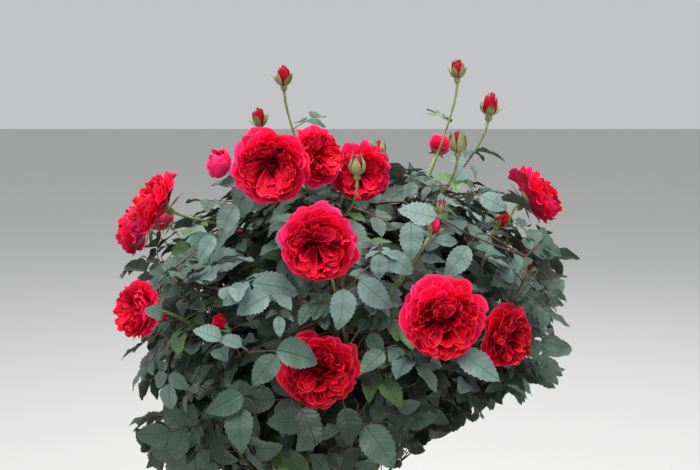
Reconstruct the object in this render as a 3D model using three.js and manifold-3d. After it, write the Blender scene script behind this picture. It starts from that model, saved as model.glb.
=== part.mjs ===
// A rose bush in a terracotta pot: one short rootstock, canes that arch out of it, side boughs on the
// canes, and masses of leaves with quartered red blooms and buds. Sizes are in millimetres, +Z is up,
// the front faces -Y, and the origin is the centre of the pot's flat underside.
import * as THREE from "three";
import { mergeVertices } from "three/addons/utils/BufferGeometryUtils.js";
import Module from "manifold-3d";

const wasm = await Module();
wasm.setup();

const V = (x, y, z) => new THREE.Vector3(x, y, z);
const UP = V(0, 0, 1);
const degrees = THREE.MathUtils.degToRad;
const GOLDEN = degrees(137.508);

// The pot and what it holds
const POT = {
  height: 300, footR: 108, bandFootR: 146, rimR: 168, wall: 14, floor: 18, band: 48, bead: 9, sides: 28,
};
const SOIL = { top: 266, sides: 24 };
const CLEAR = 0.3;
const BERTH = 0.8;

// The rootstock and the limbs that rise from it
const STOCK = { footR: 25, neckR: 15, headR: 19, height: 62, lean: degrees(4), sunk: 4, sides: 10 };
const CANE = { footR: 6.2, tipR: 3.9, steps: 7, sides: 6 };
const BOUGH = { footR: 4.6, tipR: 3.3, steps: 4, sides: 5 };
const STEM = { footR: 3.1, tipR: 2, steps: 3, sides: 4 };
const STALK = { bloomR: 1.9, budR: 1.4, steps: 2, sides: 3 };

// The crown: a rounded block, undercut towards the front right
const CROWN = {
  middle: V(0, 0, 600), core: V(0, 0, 500), reach: V(288, 272, 192), below: 240,
  undercut: 125, gapAt: degrees(326), power: 2.6,
};

// Three tiers of leaf masses round the middle of the bush
const TIERS = [
  { name: "low", count: 5, first: degrees(70), step: degrees(50), radius: 160, height: 462, forkAt: 0.14 },
  { name: "middle", count: 7, first: degrees(12), step: degrees(360 / 7), radius: 188, height: 594, forkAt: 0.4 },
  { name: "upper", count: 5, first: degrees(40), step: degrees(72), radius: 84, height: 700 },
];
const ENTRY = { inward: 0.66, drop: 56 };

// Twigs, and leaves with two pairs of leaflets and one at the end. A leaf tries several turns round its
// shoot, takes the one with the most room and is left out where too few leaflets find room.
const TWIGS = { from: [0.3, 0.62, 0.97], length: 56, spread: degrees(58), footR: 1.7, tipR: 1.4, sides: 3 };
const LEAVES = { onStem: [0.18, 0.5, 0.8], onTwig: [0.4, 0.97], tries: 14, fewest: 4, small: 0.78 };
const LEAF = {
  scale: 1.16, rachis: 56, r: 1.3, pairsAt: [0.36, 0.74], joint: 1.6, lengths: [31, 38, 45], width: 0.76,
  thick: 1.5,
};

// Blooms: place, the way the face looks (turn from the front, tilt up, in degrees) and diameter.
// These stand at the front, and more stand round the sides and the back at an even step.
const BLOOMS = [
  { at: V(-79, -205, 795), turn: -6, tilt: 24, across: 78 },
  { at: V(-30, -150, 806), turn: 34, tilt: 40, across: 70 },
  { at: V(22, -128, 779), turn: 12, tilt: 20, across: 66 },
  { at: V(-30, -235, 718), turn: -2, tilt: 16, across: 77 },
  { at: V(88, -250, 650), turn: 4, tilt: 14, across: 88 },
  { at: V(-30, -228, 590), turn: 8, tilt: 10, across: 79 },
  { at: V(158, -190, 621), turn: 40, tilt: 4, across: 68 },
  { at: V(-164, -168, 607), turn: -38, tilt: 6, across: 62 },
];
const ROUND_BLOOMS = {
  count: 10, first: degrees(10), step: degrees(23), heights: [738, 640, 565, 700], across: [76, 70, 82, 66],
};

// Buds: place of the tip's middle, the way it points, and its girth
const BUDS = [
  { at: V(-70, -110, 877), turn: -20, tilt: 84, across: 17 },
  { at: V(117, -60, 883), turn: 0, tilt: 88, across: 18 },
  { at: V(148, -100, 845), turn: 40, tilt: 80, across: 22 },
  { at: V(108, -190, 813), turn: 10, tilt: 82, across: 18 },
  { at: V(7, -208, 791), turn: 0, tilt: 86, across: 15 },
  { at: V(160, -128, 727), turn: 60, tilt: 50, across: 15 },
  { at: V(-95, -128, 836), turn: -50, tilt: 78, across: 16 },
  { at: V(-120, 60, 862), turn: -150, tilt: 80, across: 18 },
  { at: V(40, 120, 858), turn: 170, tilt: 82, across: 17 },
];

const COLOURS = { clay: 0xb5683f, soil: 0x3a2a1f, bark: 0x5d5a3a, cane: 0x5f6f3c, leaf: 0x4d6a55 };

// A repeatable number from 0 to 1 for each set of three counters, and the same from -1 to 1.
function chance(a, b, c) {
  const s = Math.sin(a * 127.1 + b * 311.7 + c * 74.7) * 43758.5453;
  return s - Math.floor(s);
}

const spread = (a, b, c) => chance(a, b, c) * 2 - 1;

// The direction square to a line at an angle round it, counted from the level.
function around(tangent, angle) {
  const level = V().crossVectors(tangent, UP);
  if (level.lengthSq() < 1e-6) level.set(1, 0, 0);
  level.normalize();
  const steep = V().crossVectors(tangent, level).normalize();
  return level.multiplyScalar(Math.cos(angle)).addScaledVector(steep, Math.sin(angle));
}

// A facing from its turn away from the front and its tilt above level.
function facing({ turn, tilt }) {
  const t = degrees(turn);
  const e = degrees(tilt);
  return V(Math.sin(t) * Math.cos(e), -Math.cos(t) * Math.cos(e), Math.sin(e));
}

// Solids from corner points and triangles, and back again
function solidOf(points, triangles) {
  return new wasm.Manifold(new wasm.Mesh({
    numProp: 3,
    vertProperties: Float32Array.from(points.flatMap((p) => [p.x, p.y, p.z])),
    triVerts: Uint32Array.from(triangles.flat()),
  }));
}

function solidOfLathe(profile, sides) {
  const lathe = new THREE.LatheGeometry(profile.map(([r, h]) => new THREE.Vector2(r, h)), sides);
  lathe.rotateX(Math.PI / 2).deleteAttribute("normal").deleteAttribute("uv");
  const merged = mergeVertices(lathe, 1e-4);
  return new wasm.Manifold(new wasm.Mesh({
    numProp: 3,
    vertProperties: merged.attributes.position.array,
    triVerts: Uint32Array.from(merged.index.array),
  }));
}

// The largest single body of a solid, so that no loose scrap is kept.
function wholeOf(solid) {
  return solid.decompose().reduce((best, s) => (s.volume() > best.volume() ? s : best));
}

function meshOf(name, solid, colour, roughness) {
  const { vertProperties, triVerts, numProp, numVert } = wholeOf(solid).getMesh();
  const corners = new Float32Array(numVert * 3);
  for (let i = 0; i < numVert; i++) {
    corners.set(vertProperties.subarray(i * numProp, i * numProp + 3), i * 3);
  }
  const geometry = new THREE.BufferGeometry()
    .setAttribute("position", new THREE.BufferAttribute(corners, 3))
    .setIndex(new THREE.BufferAttribute(triVerts, 1));
  const look = new THREE.MeshStandardMaterial({ color: colour, roughness, metalness: 0 });
  const mesh = new THREE.Mesh(geometry, look);
  mesh.name = name;
  return mesh;
}

// A closed skin over rings of points that share one count.
function skin(rings) {
  const n = rings[0].length;
  const points = rings.flat();
  const triangles = [];
  for (let r = 0; r + 1 < rings.length; r++) {
    for (let i = 0; i < n; i++) {
      const a = r * n + i;
      const b = r * n + ((i + 1) % n);
      triangles.push([a, b, b + n], [a, b + n, a + n]);
    }
  }
  const last = (rings.length - 1) * n;
  for (let i = 1; i + 1 < n; i++) triangles.push([0, i + 1, i], [last, last + i, last + i + 1]);
  return solidOf(points, triangles);
}

// A tapering limb with flat ends along a curve.
function limb(curve, steps, sides, footR, tipR, extra = 0) {
  const frames = curve.computeFrenetFrames(steps, false);
  const rings = [];
  for (let k = 0; k <= steps; k++) {
    const centre = curve.getPointAt(k / steps);
    const r = THREE.MathUtils.lerp(footR, tipR, k / steps) + extra;
    rings.push(Array.from({ length: sides }, (_, i) => {
      const a = (i / sides) * 2 * Math.PI;
      return centre.clone()
        .addScaledVector(frames.normals[k], r * Math.cos(a))
        .addScaledVector(frames.binormals[k], r * Math.sin(a));
    }));
  }
  return skin(rings);
}

// A turned shape: rings of radius and height along an axis from a foot point.
function turned(foot, axis, profile, sides, ruffle = 0) {
  return skin(profile.map(([r, h], k) => Array.from({ length: sides }, (_, i) => {
    const wave = 1 + ruffle * (i % 2 ? 1 : -1) * (k % 2 ? 1 : -1);
    return foot.clone()
      .addScaledVector(axis, h)
      .addScaledVector(around(axis, (i / sides) * 2 * Math.PI), r * wave);
  })));
}

// The pot's inner radius at a height.
function innerRadius(z) {
  const { footR, wall, rimR, bead, floor, height } = POT;
  return THREE.MathUtils.lerp(footR - wall, rimR - wall - bead, (z - floor) / (height - floor));
}

// The thrown pot: a tapering wall, a deep band and a round bead at the rim.
function makePot() {
  const { height, footR, bandFootR, rimR, floor, band, bead, sides } = POT;
  const bandFoot = height - band;
  const beadAt = height - bead;
  const profile = [
    [0, 0], [footR - 3, 0], [footR, 4], [bandFootR, bandFoot],
    [rimR - 9, bandFoot + 3], [rimR - 6, bandFoot + 9], [rimR - 4, beadAt - bead],
  ];
  for (let k = -1; k <= 3; k++) {
    const a = (k / 3) * (Math.PI / 2);
    profile.push([rimR - bead + bead * Math.cos(a), beadAt + bead * Math.sin(a)]);
  }
  profile.push([innerRadius(height) + 3, height], [innerRadius(height - 6), height - 6]);
  profile.push([innerRadius(floor), floor], [0, floor]);
  return solidOfLathe(profile, sides);
}

// The soil fills the pot inside its flats.
function makeSoil() {
  const foot = POT.floor + CLEAR;
  const slack = CLEAR + innerRadius(SOIL.top) * (1 - Math.cos(Math.PI / POT.sides));
  const radii = [innerRadius(foot) - slack, innerRadius(SOIL.top) - slack];
  return solidOfLathe([[0, foot], [radii[0], foot], [radii[1], SOIL.top], [0, SOIL.top]], SOIL.sides);
}

// The rootstock: a flared foot, a neck and a knuckle where the canes leave.
function makeStock(extra = 0) {
  const { footR, neckR, headR, height, lean, sunk } = STOCK;
  const ground = SOIL.top + CLEAR;
  const axis = V(Math.sin(lean), 0, Math.cos(lean));
  const profile = [
    [footR, -sunk], [footR, 0], [neckR + 4, 9], [neckR, 24], [headR, 46], [headR - 3, 57], [headR - 10, height],
  ].map(([r, h]) => [r + extra, h + (h > height / 2 ? extra * 2 : 0)]);
  return turned(V(0, 0, ground), axis, profile, STOCK.sides).trimByPlane([0, 0, 1], ground);
}

// Where each leaf mass stands, where its bough ends and where its own stem ends.
function placeMasses() {
  return TIERS.flatMap((tier) => Array.from({ length: tier.count }, (_, i) => {
    const angle = tier.first + i * tier.step;
    const out = V(Math.cos(angle), Math.sin(angle), 0);
    const centre = out.clone().multiplyScalar(tier.radius).setZ(tier.height);
    const entry = out.clone().multiplyScalar(tier.radius * ENTRY.inward).setZ(tier.height - ENTRY.drop);
    const heading = V().subVectors(centre, entry).normalize();
    const tip = centre.clone().addScaledVector(out, tier.radius * 0.12).addScaledVector(UP, 30);
    const foot = entry.clone().addScaledVector(heading, CLEAR + 0.1);
    const stem = new THREE.QuadraticBezierCurve3(foot, foot.clone().addScaledVector(heading, 52), tip);
    return { tier, name: tier.name + "_" + (i + 1), angle, out, centre, entry, heading, tip, stem };
  }));
}

// A cane rises out of the knuckle and arches out to its mass.
function caneCurve(mass) {
  const foot = V(0, 0, SOIL.top + STOCK.height * 0.72).addScaledVector(mass.out, 8);
  const rise = foot.clone().addScaledVector(mass.out, 46).addScaledVector(UP, 105);
  const bend = mass.entry.clone().addScaledVector(mass.heading, -100);
  return new THREE.CubicBezierCurve3(foot, rise, bend, mass.entry);
}

const turnBetween = (a, b) => Math.abs(((a - b + 3 * Math.PI) % (2 * Math.PI)) - Math.PI);

// Side boughs leave the nearest cane, each a little further up than the last on that cane.
function boughCurve(mass, canes) {
  const near = (c) => turnBetween(c.angle, mass.angle);
  const cane = canes.reduce((best, c) => (near(c) < near(best) ? c : best));
  const at = mass.tier.forkAt + 0.12 * cane.forks.filter((name) => name === mass.tier.name).length;
  cane.forks.push(mass.tier.name);
  const foot = cane.curve.getPointAt(at);
  const away = V().subVectors(mass.entry, foot).setZ(0).normalize();
  const reach = foot.distanceTo(mass.entry);
  const rise = foot.clone().addScaledVector(away, reach * 0.42)
    .addScaledVector(cane.curve.getTangentAt(at), reach * 0.22);
  const bend = mass.entry.clone().addScaledVector(mass.heading, -reach * 0.3);
  return new THREE.CubicBezierCurve3(foot, rise, bend, mass.entry);
}

// Whether a point lies in the crown.
function inCrown(p) {
  const { middle, reach, below, undercut, gapAt, power } = CROWN;
  const x = Math.abs(p.x - middle.x) / reach.x;
  const y = Math.abs(p.y - middle.y) / reach.y;
  const open = Math.max(0, Math.cos(Math.atan2(p.y, p.x) - gapAt));
  const z = Math.abs(p.z - middle.z) / (p.z > middle.z ? reach.z : below - undercut * open);
  return x ** power + y ** power + z ** power <= 1;
}

// Whether a point is nearer a mass's centre than any other's, with a gap kept between them.
function inCell(p, mass, masses) {
  const own = p.distanceToSquared(mass.centre);
  return masses.every((m) => m === mass
    || p.distanceToSquared(m.centre) - own > 1.2 * m.centre.distanceTo(mass.centre));
}

// The corners of one leaflet: its widest places and its tip, folded up a little and drooping at the tip.
function leafletCorners(foot, along, normal, length) {
  const side = V().crossVectors(normal, along).normalize();
  const half = (length * LEAF.width) / 2;
  const belly = foot.clone().addScaledVector(along, length * 0.42).addScaledVector(normal, half * 0.2);
  return {
    right: belly.clone().addScaledVector(side, -half),
    tip: foot.clone().addScaledVector(along, length).addScaledVector(normal, -length * 0.1),
    left: belly.clone().addScaledVector(side, half),
  };
}

// A thin wedge with a leaflet's reach, to try it against what it must keep clear of.
function leafletBody(foot, normal, { right, tip, left }) {
  const h = normal.clone().multiplyScalar(LEAF.thick);
  const points = [foot.clone().add(h), foot.clone().sub(h), right, tip, left];
  const triangles = [[0, 2, 3], [0, 3, 4], [1, 3, 2], [1, 4, 3], [0, 1, 2], [0, 4, 1]];
  return { solid: solidOf(points, triangles), points };
}

// The frame of a leaf on a shoot: it grows out at a turn round the shoot, with its face up and outwards.
function leafFrame(at, tangent, seed, turn, aside) {
  const outward = V().subVectors(at, CROWN.core).normalize();
  const grows = around(tangent, turn).multiplyScalar(aside)
    .addScaledVector(tangent, 0.5)
    .addScaledVector(outward, 0.15);
  const normal = V(spread(seed, 1, 2), spread(seed, 3, 4), spread(seed, 5, 6)).multiplyScalar(0.36)
    .addScaledVector(UP, 0.4)
    .addScaledVector(outward, 0.8)
    .normalize();
  const along = grows.addScaledVector(normal, -grows.dot(normal)).normalize();
  return { along, normal };
}

// A compound leaf: its rachis from the shoot to the last leaflet, and the leaflets' corners along it.
function layOutLeaf(at, along, normal, scale) {
  const side = V().crossVectors(normal, along).normalize();
  const on = (d, s) => at.clone()
    .addScaledVector(along, d)
    .addScaledVector(side, s)
    .addScaledVector(normal, -d * 0.08);
  const nodes = [...LEAF.pairsAt, 1].map((share) => share * LEAF.rachis * scale);
  const leaflets = nodes.flatMap((d, k) => {
    const foot = on(d, 0);
    const hands = k === nodes.length - 1 ? [0] : [-1, 1];
    return hands.map((hand) => {
      const out = along.clone().multiplyScalar(hand ? 0.5 : 1)
        .addScaledVector(side, hand * 0.86)
        .addScaledVector(normal, -0.08 * Math.abs(hand))
        .normalize();
      const face = normal.clone().addScaledVector(out, -normal.dot(out)).normalize();
      const corners = leafletCorners(foot, out, face, LEAF.lengths[k] * scale);
      return { node: k, hand, corners, ...leafletBody(foot, normal, corners) };
    });
  });
  return { on, nodes, normal, leaflets };
}

// The leaf as one thin body: two skins over one outline, which runs up one side of the rachis round each
// leaflet and down the other, and stand apart along the rachis.
function leafSolid({ on, nodes, normal }, leaflets) {
  const half = LEAF.r;
  const rim = [on(0, -half), on(0, half)];
  const ridge = nodes.map((d) => on(d, 0));
  const ridgeAt = (k) => -1 - k;
  const add = (p) => rim.push(p) - 1;
  const top = [[1, 0, ridgeAt(0)]];
  const roundLeaflet = (k, from, to, hand, side) => {
    const leaf = leaflets.find((f) => f.node === k && f.hand === hand);
    const { right, tip, left } = leaf ? leaf.corners : {};
    const corners = side < 0 ? [right, tip, left] : [left, tip, right];
    const path = [from, ...(leaf ? corners.map(add) : []), to];
    path.slice(1).forEach((corner, i) => {
      top.push(side < 0 ? [ridgeAt(k), path[i], corner] : [ridgeAt(k), corner, path[i]]);
    });
  };
  let below = [0, 1];
  nodes.forEach((d, k) => {
    const before = [add(on(d - LEAF.joint, -half)), add(on(d - LEAF.joint, half))];
    top.push([below[0], before[0], ridgeAt(k)], [ridgeAt(k), before[1], below[1]]);
    if (k > 0) top.push([ridgeAt(k - 1), below[0], ridgeAt(k)], [ridgeAt(k - 1), ridgeAt(k), below[1]]);
    if (k === nodes.length - 1) {
      roundLeaflet(k, before[0], before[1], 0, -1);
      return;
    }
    const beyond = [add(on(d + LEAF.joint, -half)), add(on(d + LEAF.joint, half))];
    roundLeaflet(k, before[0], beyond[0], -1, -1);
    roundLeaflet(k, before[1], beyond[1], 1, 1);
    below = beyond;
  });
  const lift = normal.clone().multiplyScalar(LEAF.thick / 2);
  const points = [...rim, ...ridge.map((p) => p.clone().add(lift)), ...ridge.map((p) => p.clone().sub(lift))];
  const upper = (c) => (c < 0 ? rim.length - 1 - c : c);
  const lower = (c) => (c < 0 ? rim.length + nodes.length - 1 - c : c);
  const faces = [...top.map((t) => t.map(upper)), ...top.map(([p, q, r]) => [lower(p), lower(r), lower(q)])];
  return solidOf(points, faces);
}

// A bloom: a shallow cup of outer petals with a hollow at its heart.
function bloomSolid({ at, face, across }, extra = 0) {
  const r = across / 2 + extra;
  const back = at.clone().addScaledVector(face, -0.42 * r);
  const profile = [[3.4, -5], [r * 0.56, 0.06 * r], [r, 0.48 * r], [r * 0.72, 0.8 * r], [r * 0.14, 0.62 * r]];
  return turned(back, face, profile, 8, 0.035);
}

// A bud: a round hip below and a pointed bud above.
function budSolid({ at, face, across }, extra = 0) {
  const r = across / 2 + extra;
  const back = at.clone().addScaledVector(face, -2 * r);
  return turned(back, face, [[1.6, -2], [r * 0.5, 2], [r * 0.42, r * 0.8], [r, r * 2], [1, r * 3.6]], 5);
}

// A flower's stalk: from its mass's own stem, curving in behind the flower.
function stalkCurve(flower) {
  const foot = flower.mass.stem.getPointAt(flower.from);
  const behind = flower.at.clone().addScaledVector(flower.face, -flower.deep);
  const reach = foot.distanceTo(behind);
  const rise = foot.clone().lerp(behind, 0.35).addScaledVector(UP, reach * 0.06);
  const bend = behind.clone().addScaledVector(flower.face, -Math.min(34, reach * 0.35));
  return new THREE.CubicBezierCurve3(foot, rise, bend, behind);
}

function flowerSolids(flower, extra = 0) {
  const isBloom = flower.kind === "bloom";
  const head = isBloom ? bloomSolid(flower, extra) : budSolid(flower, extra);
  const r = isBloom ? STALK.bloomR : STALK.budR;
  return { head, stalk: limb(stalkCurve(flower), STALK.steps, STALK.sides, r, r, extra) };
}

// The surface of the crown in a level direction at a height.
function crownEdge(angle, z) {
  let r = CROWN.reach.x;
  while (r > 20 && !inCrown(V(r * Math.cos(angle), r * Math.sin(angle), z))) r -= 1;
  return r;
}

// The blooms at the front, those round the rest of the crown, and the buds, each on its nearest mass.
function placeFlowers(masses) {
  const { heights } = ROUND_BLOOMS;
  const round = Array.from({ length: ROUND_BLOOMS.count }, (_, i) => {
    const angle = ROUND_BLOOMS.first + i * ROUND_BLOOMS.step;
    const z = heights[i % heights.length];
    const r = crownEdge(angle, z) - 12;
    const at = V(r * Math.cos(angle), r * Math.sin(angle), z);
    const turn = THREE.MathUtils.radToDeg(angle) + 90;
    return { at, turn, tilt: 12 + 34 * ((z - 560) / 190), across: ROUND_BLOOMS.across[(i * 3) % 4] };
  });
  const blooms = [...BLOOMS, ...round].map((b) => ({ ...b, kind: "bloom", deep: b.across * 0.21 + 3 }));
  const buds = BUDS.map((b) => ({ ...b, kind: "bud", deep: b.across }));
  return [...blooms, ...buds].map((f, i) => {
    const near = (m) => f.at.distanceTo(m.tip);
    const mass = masses.reduce((best, m) => (near(m) < near(best) ? m : best));
    return { ...f, mass, face: facing(f), from: 0.45 + 0.4 * chance(i, 7, 3) };
  });
}

// Whether a point stands in front of a bloom's face.
function hidesBloom(p, flowers) {
  return flowers.some(({ kind, at, face, across }) => {
    if (kind !== "bloom") return false;
    const from = V().subVectors(p, at);
    const ahead = from.dot(face);
    return ahead > 0 && ahead < 90 && from.addScaledVector(face, -ahead).length() < across * 0.46;
  });
}

// The twigs leave the stem at the golden angle, the last one straight on.
function twigLines({ stem }, index) {
  return TWIGS.from.map((t, i) => {
    const tangent = stem.getTangentAt(t);
    const lean = i === TWIGS.from.length - 1 ? 0.2 : TWIGS.spread + 0.25 * spread(index, i, 1);
    const heading = tangent.clone().multiplyScalar(Math.cos(lean))
      .addScaledVector(around(tangent, GOLDEN * i + index * 1.3), Math.sin(lean))
      .addScaledVector(UP, 0.2)
      .normalize();
    const foot = stem.getPointAt(t);
    const length = TWIGS.length * (1 + 0.3 * spread(index, i, 2));
    return new THREE.LineCurve3(foot, foot.clone().addScaledVector(heading, length));
  });
}

// A mass: its stem, its twigs, the flowers it bears and every leaf that keeps to its space.
function makeMass(mass, index, masses, flowers, limbs) {
  const fat = flowers.map((f) => ({ mass: f.mass, ...flowerSolids(f, BERTH) }));
  const keepOff = wasm.Manifold.union([
    limbs, ...fat.flatMap((f) => (f.mass === mass ? [f.head] : [f.head, f.stalk])),
  ]);
  const hasRoom = (p) => inCell(p, mass, masses) && inCrown(p) && !hidesBloom(p, flowers);
  const isClear = (solid) => solid.intersect(keepOff).isEmpty();

  const own = flowers.filter((f) => f.mass === mass).map((f) => flowerSolids(f));
  const twigs = twigLines(mass, index)
    .map((line, order) => ({ line, order, solid: limb(line, 1, TWIGS.sides, TWIGS.footR, TWIGS.tipR) }))
    .filter(({ line, solid }) => hasRoom(line.v2) && isClear(solid));
  let grown = wasm.Manifold.union([
    limb(mass.stem, STEM.steps, STEM.sides, STEM.footR, STEM.tipR),
    ...own.flatMap(({ head, stalk }) => [head, stalk]),
    ...twigs.map((t) => t.solid),
  ]);

  const tryLeaf = (line, share, seed, k) => {
    const size = k < LEAVES.tries / 2 ? 1 : LEAVES.small;
    const vary = seed + k * 0.37;
    const at = line.getPointAt(share);
    const aside = share > 0.9 ? 0.35 : 0.85;
    const { along, normal } = leafFrame(at, line.getTangentAt(share), vary, GOLDEN * (seed + k), aside);
    const leaf = layOutLeaf(at, along, normal, LEAF.scale * size * (0.9 + 0.2 * chance(vary, 8, 8)));
    const roomy = leaf.leaflets.filter((f) => f.points.every(hasRoom));
    const enough = roomy.length >= LEAVES.fewest ? roomy : [];
    return { leaf, free: enough.filter(({ solid }) => isClear(solid) && solid.intersect(grown).isEmpty()) };
  };
  const growLeaf = (line, share, seed) => {
    let best = { free: [] };
    for (let k = 0; k < LEAVES.tries && best.free.length < 5; k++) {
      const next = tryLeaf(line, share, seed, k);
      if (next.free.length > best.free.length) best = next;
    }
    if (best.free.length < LEAVES.fewest) return;
    const solid = leafSolid(best.leaf, best.free);
    if (isClear(solid)) grown = grown.add(solid);
  };
  const seedOf = (order, j) => index * 100 + order * 10 + j;
  LEAVES.onStem.forEach((share, j) => growLeaf(mass.stem, share, seedOf(TWIGS.from.length, j)));
  twigs.forEach(({ line, order }) => {
    LEAVES.onTwig.forEach((share, j) => growLeaf(line, share, seedOf(order, j)));
  });
  return grown;
}

// Putting it together
const masses = placeMasses();
const canes = masses.filter((m) => m.tier.name === "upper")
  .map((m) => ({ angle: m.angle, curve: caneCurve(m), forks: [] }));
const boughs = masses.filter((m) => m.tier.name !== "upper")
  .map((m) => ({ name: m.name, curve: boughCurve(m, canes) }));
const flowers = placeFlowers(masses);

const limbOf = ({ curve }, size, extra = 0) => limb(curve, size.steps, size.sides, size.footR, size.tipR, extra);
const fatStock = makeStock(CLEAR);
const fatCanes = wasm.Manifold.union(canes.map((c) => limbOf(c, CANE, CLEAR)));
const limbs = wasm.Manifold.union([
  fatStock, ...canes.map((c) => limbOf(c, CANE, BERTH)), ...boughs.map((b) => limbOf(b, BOUGH, BERTH)),
]);

const bush = new THREE.Group();
bush.add(meshOf("pot", makePot(), COLOURS.clay, 0.85));
bush.add(meshOf("soil", makeSoil(), COLOURS.soil, 0.95));
bush.add(meshOf("rootstock", makeStock(), COLOURS.bark, 0.9));
canes.forEach((cane, i) => {
  bush.add(meshOf("cane_" + (i + 1), limbOf(cane, CANE).subtract(fatStock), COLOURS.cane, 0.7));
});
boughs.forEach((bough) => {
  bush.add(meshOf("bough_" + bough.name, limbOf(bough, BOUGH).subtract(fatCanes), COLOURS.cane, 0.7));
});
masses.forEach((mass, i) => {
  bush.add(meshOf("leaves_" + mass.name, makeMass(mass, i, masses, flowers, limbs), COLOURS.leaf, 0.6));
});

export default bush;
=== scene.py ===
# A rose bush in a terracotta pot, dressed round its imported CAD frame. Metres, +Z up, the front faces -Y.
# Every surface is a function of two parameters on a grid, or a profile carried along a path.
import functools
import math

import bpy
import numpy as np
from bpy.props import FloatProperty, FloatVectorProperty, IntProperty, PointerProperty
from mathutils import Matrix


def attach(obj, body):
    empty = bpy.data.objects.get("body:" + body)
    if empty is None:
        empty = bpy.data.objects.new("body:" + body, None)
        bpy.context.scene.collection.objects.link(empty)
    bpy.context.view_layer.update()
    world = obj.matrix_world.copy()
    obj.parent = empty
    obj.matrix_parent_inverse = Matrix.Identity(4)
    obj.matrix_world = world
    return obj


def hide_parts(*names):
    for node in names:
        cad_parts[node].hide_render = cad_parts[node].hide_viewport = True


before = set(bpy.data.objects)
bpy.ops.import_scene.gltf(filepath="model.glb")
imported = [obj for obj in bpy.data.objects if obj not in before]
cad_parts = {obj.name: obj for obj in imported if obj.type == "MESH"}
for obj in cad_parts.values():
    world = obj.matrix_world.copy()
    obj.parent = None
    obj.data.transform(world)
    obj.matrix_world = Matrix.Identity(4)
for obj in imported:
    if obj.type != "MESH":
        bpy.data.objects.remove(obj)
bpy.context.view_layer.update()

bl_info = {
    "name": "Potted rose bush",
    "version": (1, 0, 0),
    "blender": (4, 5, 0),
    "location": "3D View > Sidebar > Rose bush",
    "description": "Grows a rose bush with quartered red blooms in a terracotta pot",
    "category": "Object",
}

UP = np.array([0.0, 0.0, 1.0])
GOLDEN = math.radians(137.508)
# A turn, near enough to draw a phase or a direction from, and a little nearer
WHOLE_TURN, FINER_TURN = 6.28, 6.283

# The pot and what it holds, as in the part's source
POT = {"height": 0.3, "foot": 0.108, "band_foot": 0.146, "rim": 0.168, "wall": 0.014, "floor": 0.018,
       "band": 0.048, "bead": 0.009}
POT_SIDES = 112
SOIL_TOP = 0.266
SOIL_GAP = 0.0195
SOIL_SIDES = 110
CRUMBS = 420
STOCK_FOOT = 0.2663
STOCK_LEAN = math.radians(4)
STOCK_HEIGHT = 0.062
STOCK_PROFILE = [(0.025, -0.004), (0.025, 0), (0.019, 0.009), (0.015, 0.024), (0.019, 0.046),
                 (0.016, 0.057), (0.009, 0.062)]

# Radii of a limb at its foot and at its tip, of a flower's stalk by kind, and how many prickles a limb has
CANE = (0.0062, 0.0039)
BOUGH = (0.0046, 0.0033)
STEM = (0.0031, 0.0016)
TWIG = (0.0015, 0.0009)
SIDE = (0.001, 0.0007)
STALK = {"bloom": 0.0016, "half": 0.0014, "bud": 0.0011}
PRICKLES = {"cane": 12, "bough": 7, "stem": 6}
# The neck under a flower that bears no leaf, and how far behind its place a flower's stalk ends: a share of
# its diameter by kind, and a little more behind a bloom
BARE_STALK = 0.036
BEHIND = {"bloom": 0.21, "half": 0.3, "bud": 1}
BEHIND_BLOOM = 0.003

# The crown and its tiers of leaf masses, as in the part's source. A tier has a name, how many masses, the
# first's bearing and the step to the next in degrees, radius, height, and where its boughs leave a cane.
CROWN = {"middle": np.array([0, 0, 0.6]), "core": np.array([0, 0, 0.5]), "reach": (0.288, 0.272, 0.192),
         "below": 0.24, "undercut": 0.125, "gap_at": math.radians(326), "power": 2.6}
TIERS = [("low", 5, 70, 50, 0.16, 0.462, 0.14), ("middle", 7, 12, 360 / 7, 0.188, 0.594, 0.4),
         ("upper", 5, 40, 72, 0.084, 0.7, 0)]
# A limb ends at a share of its mass's radius and below its middle, and a stem carries on from there
ENTRY_INWARD = 0.66
ENTRY_DROP = 0.056
STEM_GAP = 0.0004
STEM_RISE = 0.052
TIP_BEYOND = 0.12
TIP_ABOVE = 0.03
# A cane leaves the stock at a share of its height and a little out, rises out and up, and turns in below its
# mass
CANE_AT, CANE_OFF, CANE_OUT, CANE_UP, CANE_TURN = 0.72, 0.008, 0.046, 0.105, 0.1
# Boughs of a tier leave a cane a step apart, head out and along the cane, and turn in below their mass, in
# shares of their reach
FORK_STEP, BOUGH_OUT, BOUGH_ALONG, BOUGH_TURN = 0.12, 0.42, 0.22, 0.3

# The source's three twigs on a stem come first, and finer ones follow by the same rule
TWIG_SHARES = [0.3, 0.62, 0.97, 0.1, 0.46, 0.8]
TWIG_SPREAD = math.radians(58)
TWIG_LENGTH = 0.056
END_TWIG, END_LEAN = 2, 0.2
# Where side shoots leave a twig, and their lengths, and how far they lean from it
SIDE_SHOOTS = [(0.42, 0.036), (0.74, 0.03)]
SIDE_LEAN = 0.9
# Where branchlets leave a limb inside the bush, their lengths, their lean and lift, and the side shoot on
# each: where, lean, length and lift
BRANCHLETS = {"cane": [0.36, 0.44, 0.52, 0.6, 0.68, 0.76, 0.84, 0.92, 0.98],
              "bough": [0.4, 0.52, 0.64, 0.76, 0.88, 0.97]}
BRANCHLET_LENGTH, BRANCHLET_VARIES = 0.062, 0.03
BRANCHLET_LEAN, BRANCHLET_LIFT = 1.05, 0.45
BRANCHLET_SIDE = {"share": 0.55, "lean": 0.95, "length": 0.04, "lift": 0.3}
# The way between leaves up a shoot, how many turns round it are tried for each, and how many leaflets need
# room for the leaf to grow
LEAF_GAP = 0.0132
LEAF_TRIES = 10
ENOUGH_LEAFLETS = 3
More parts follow.
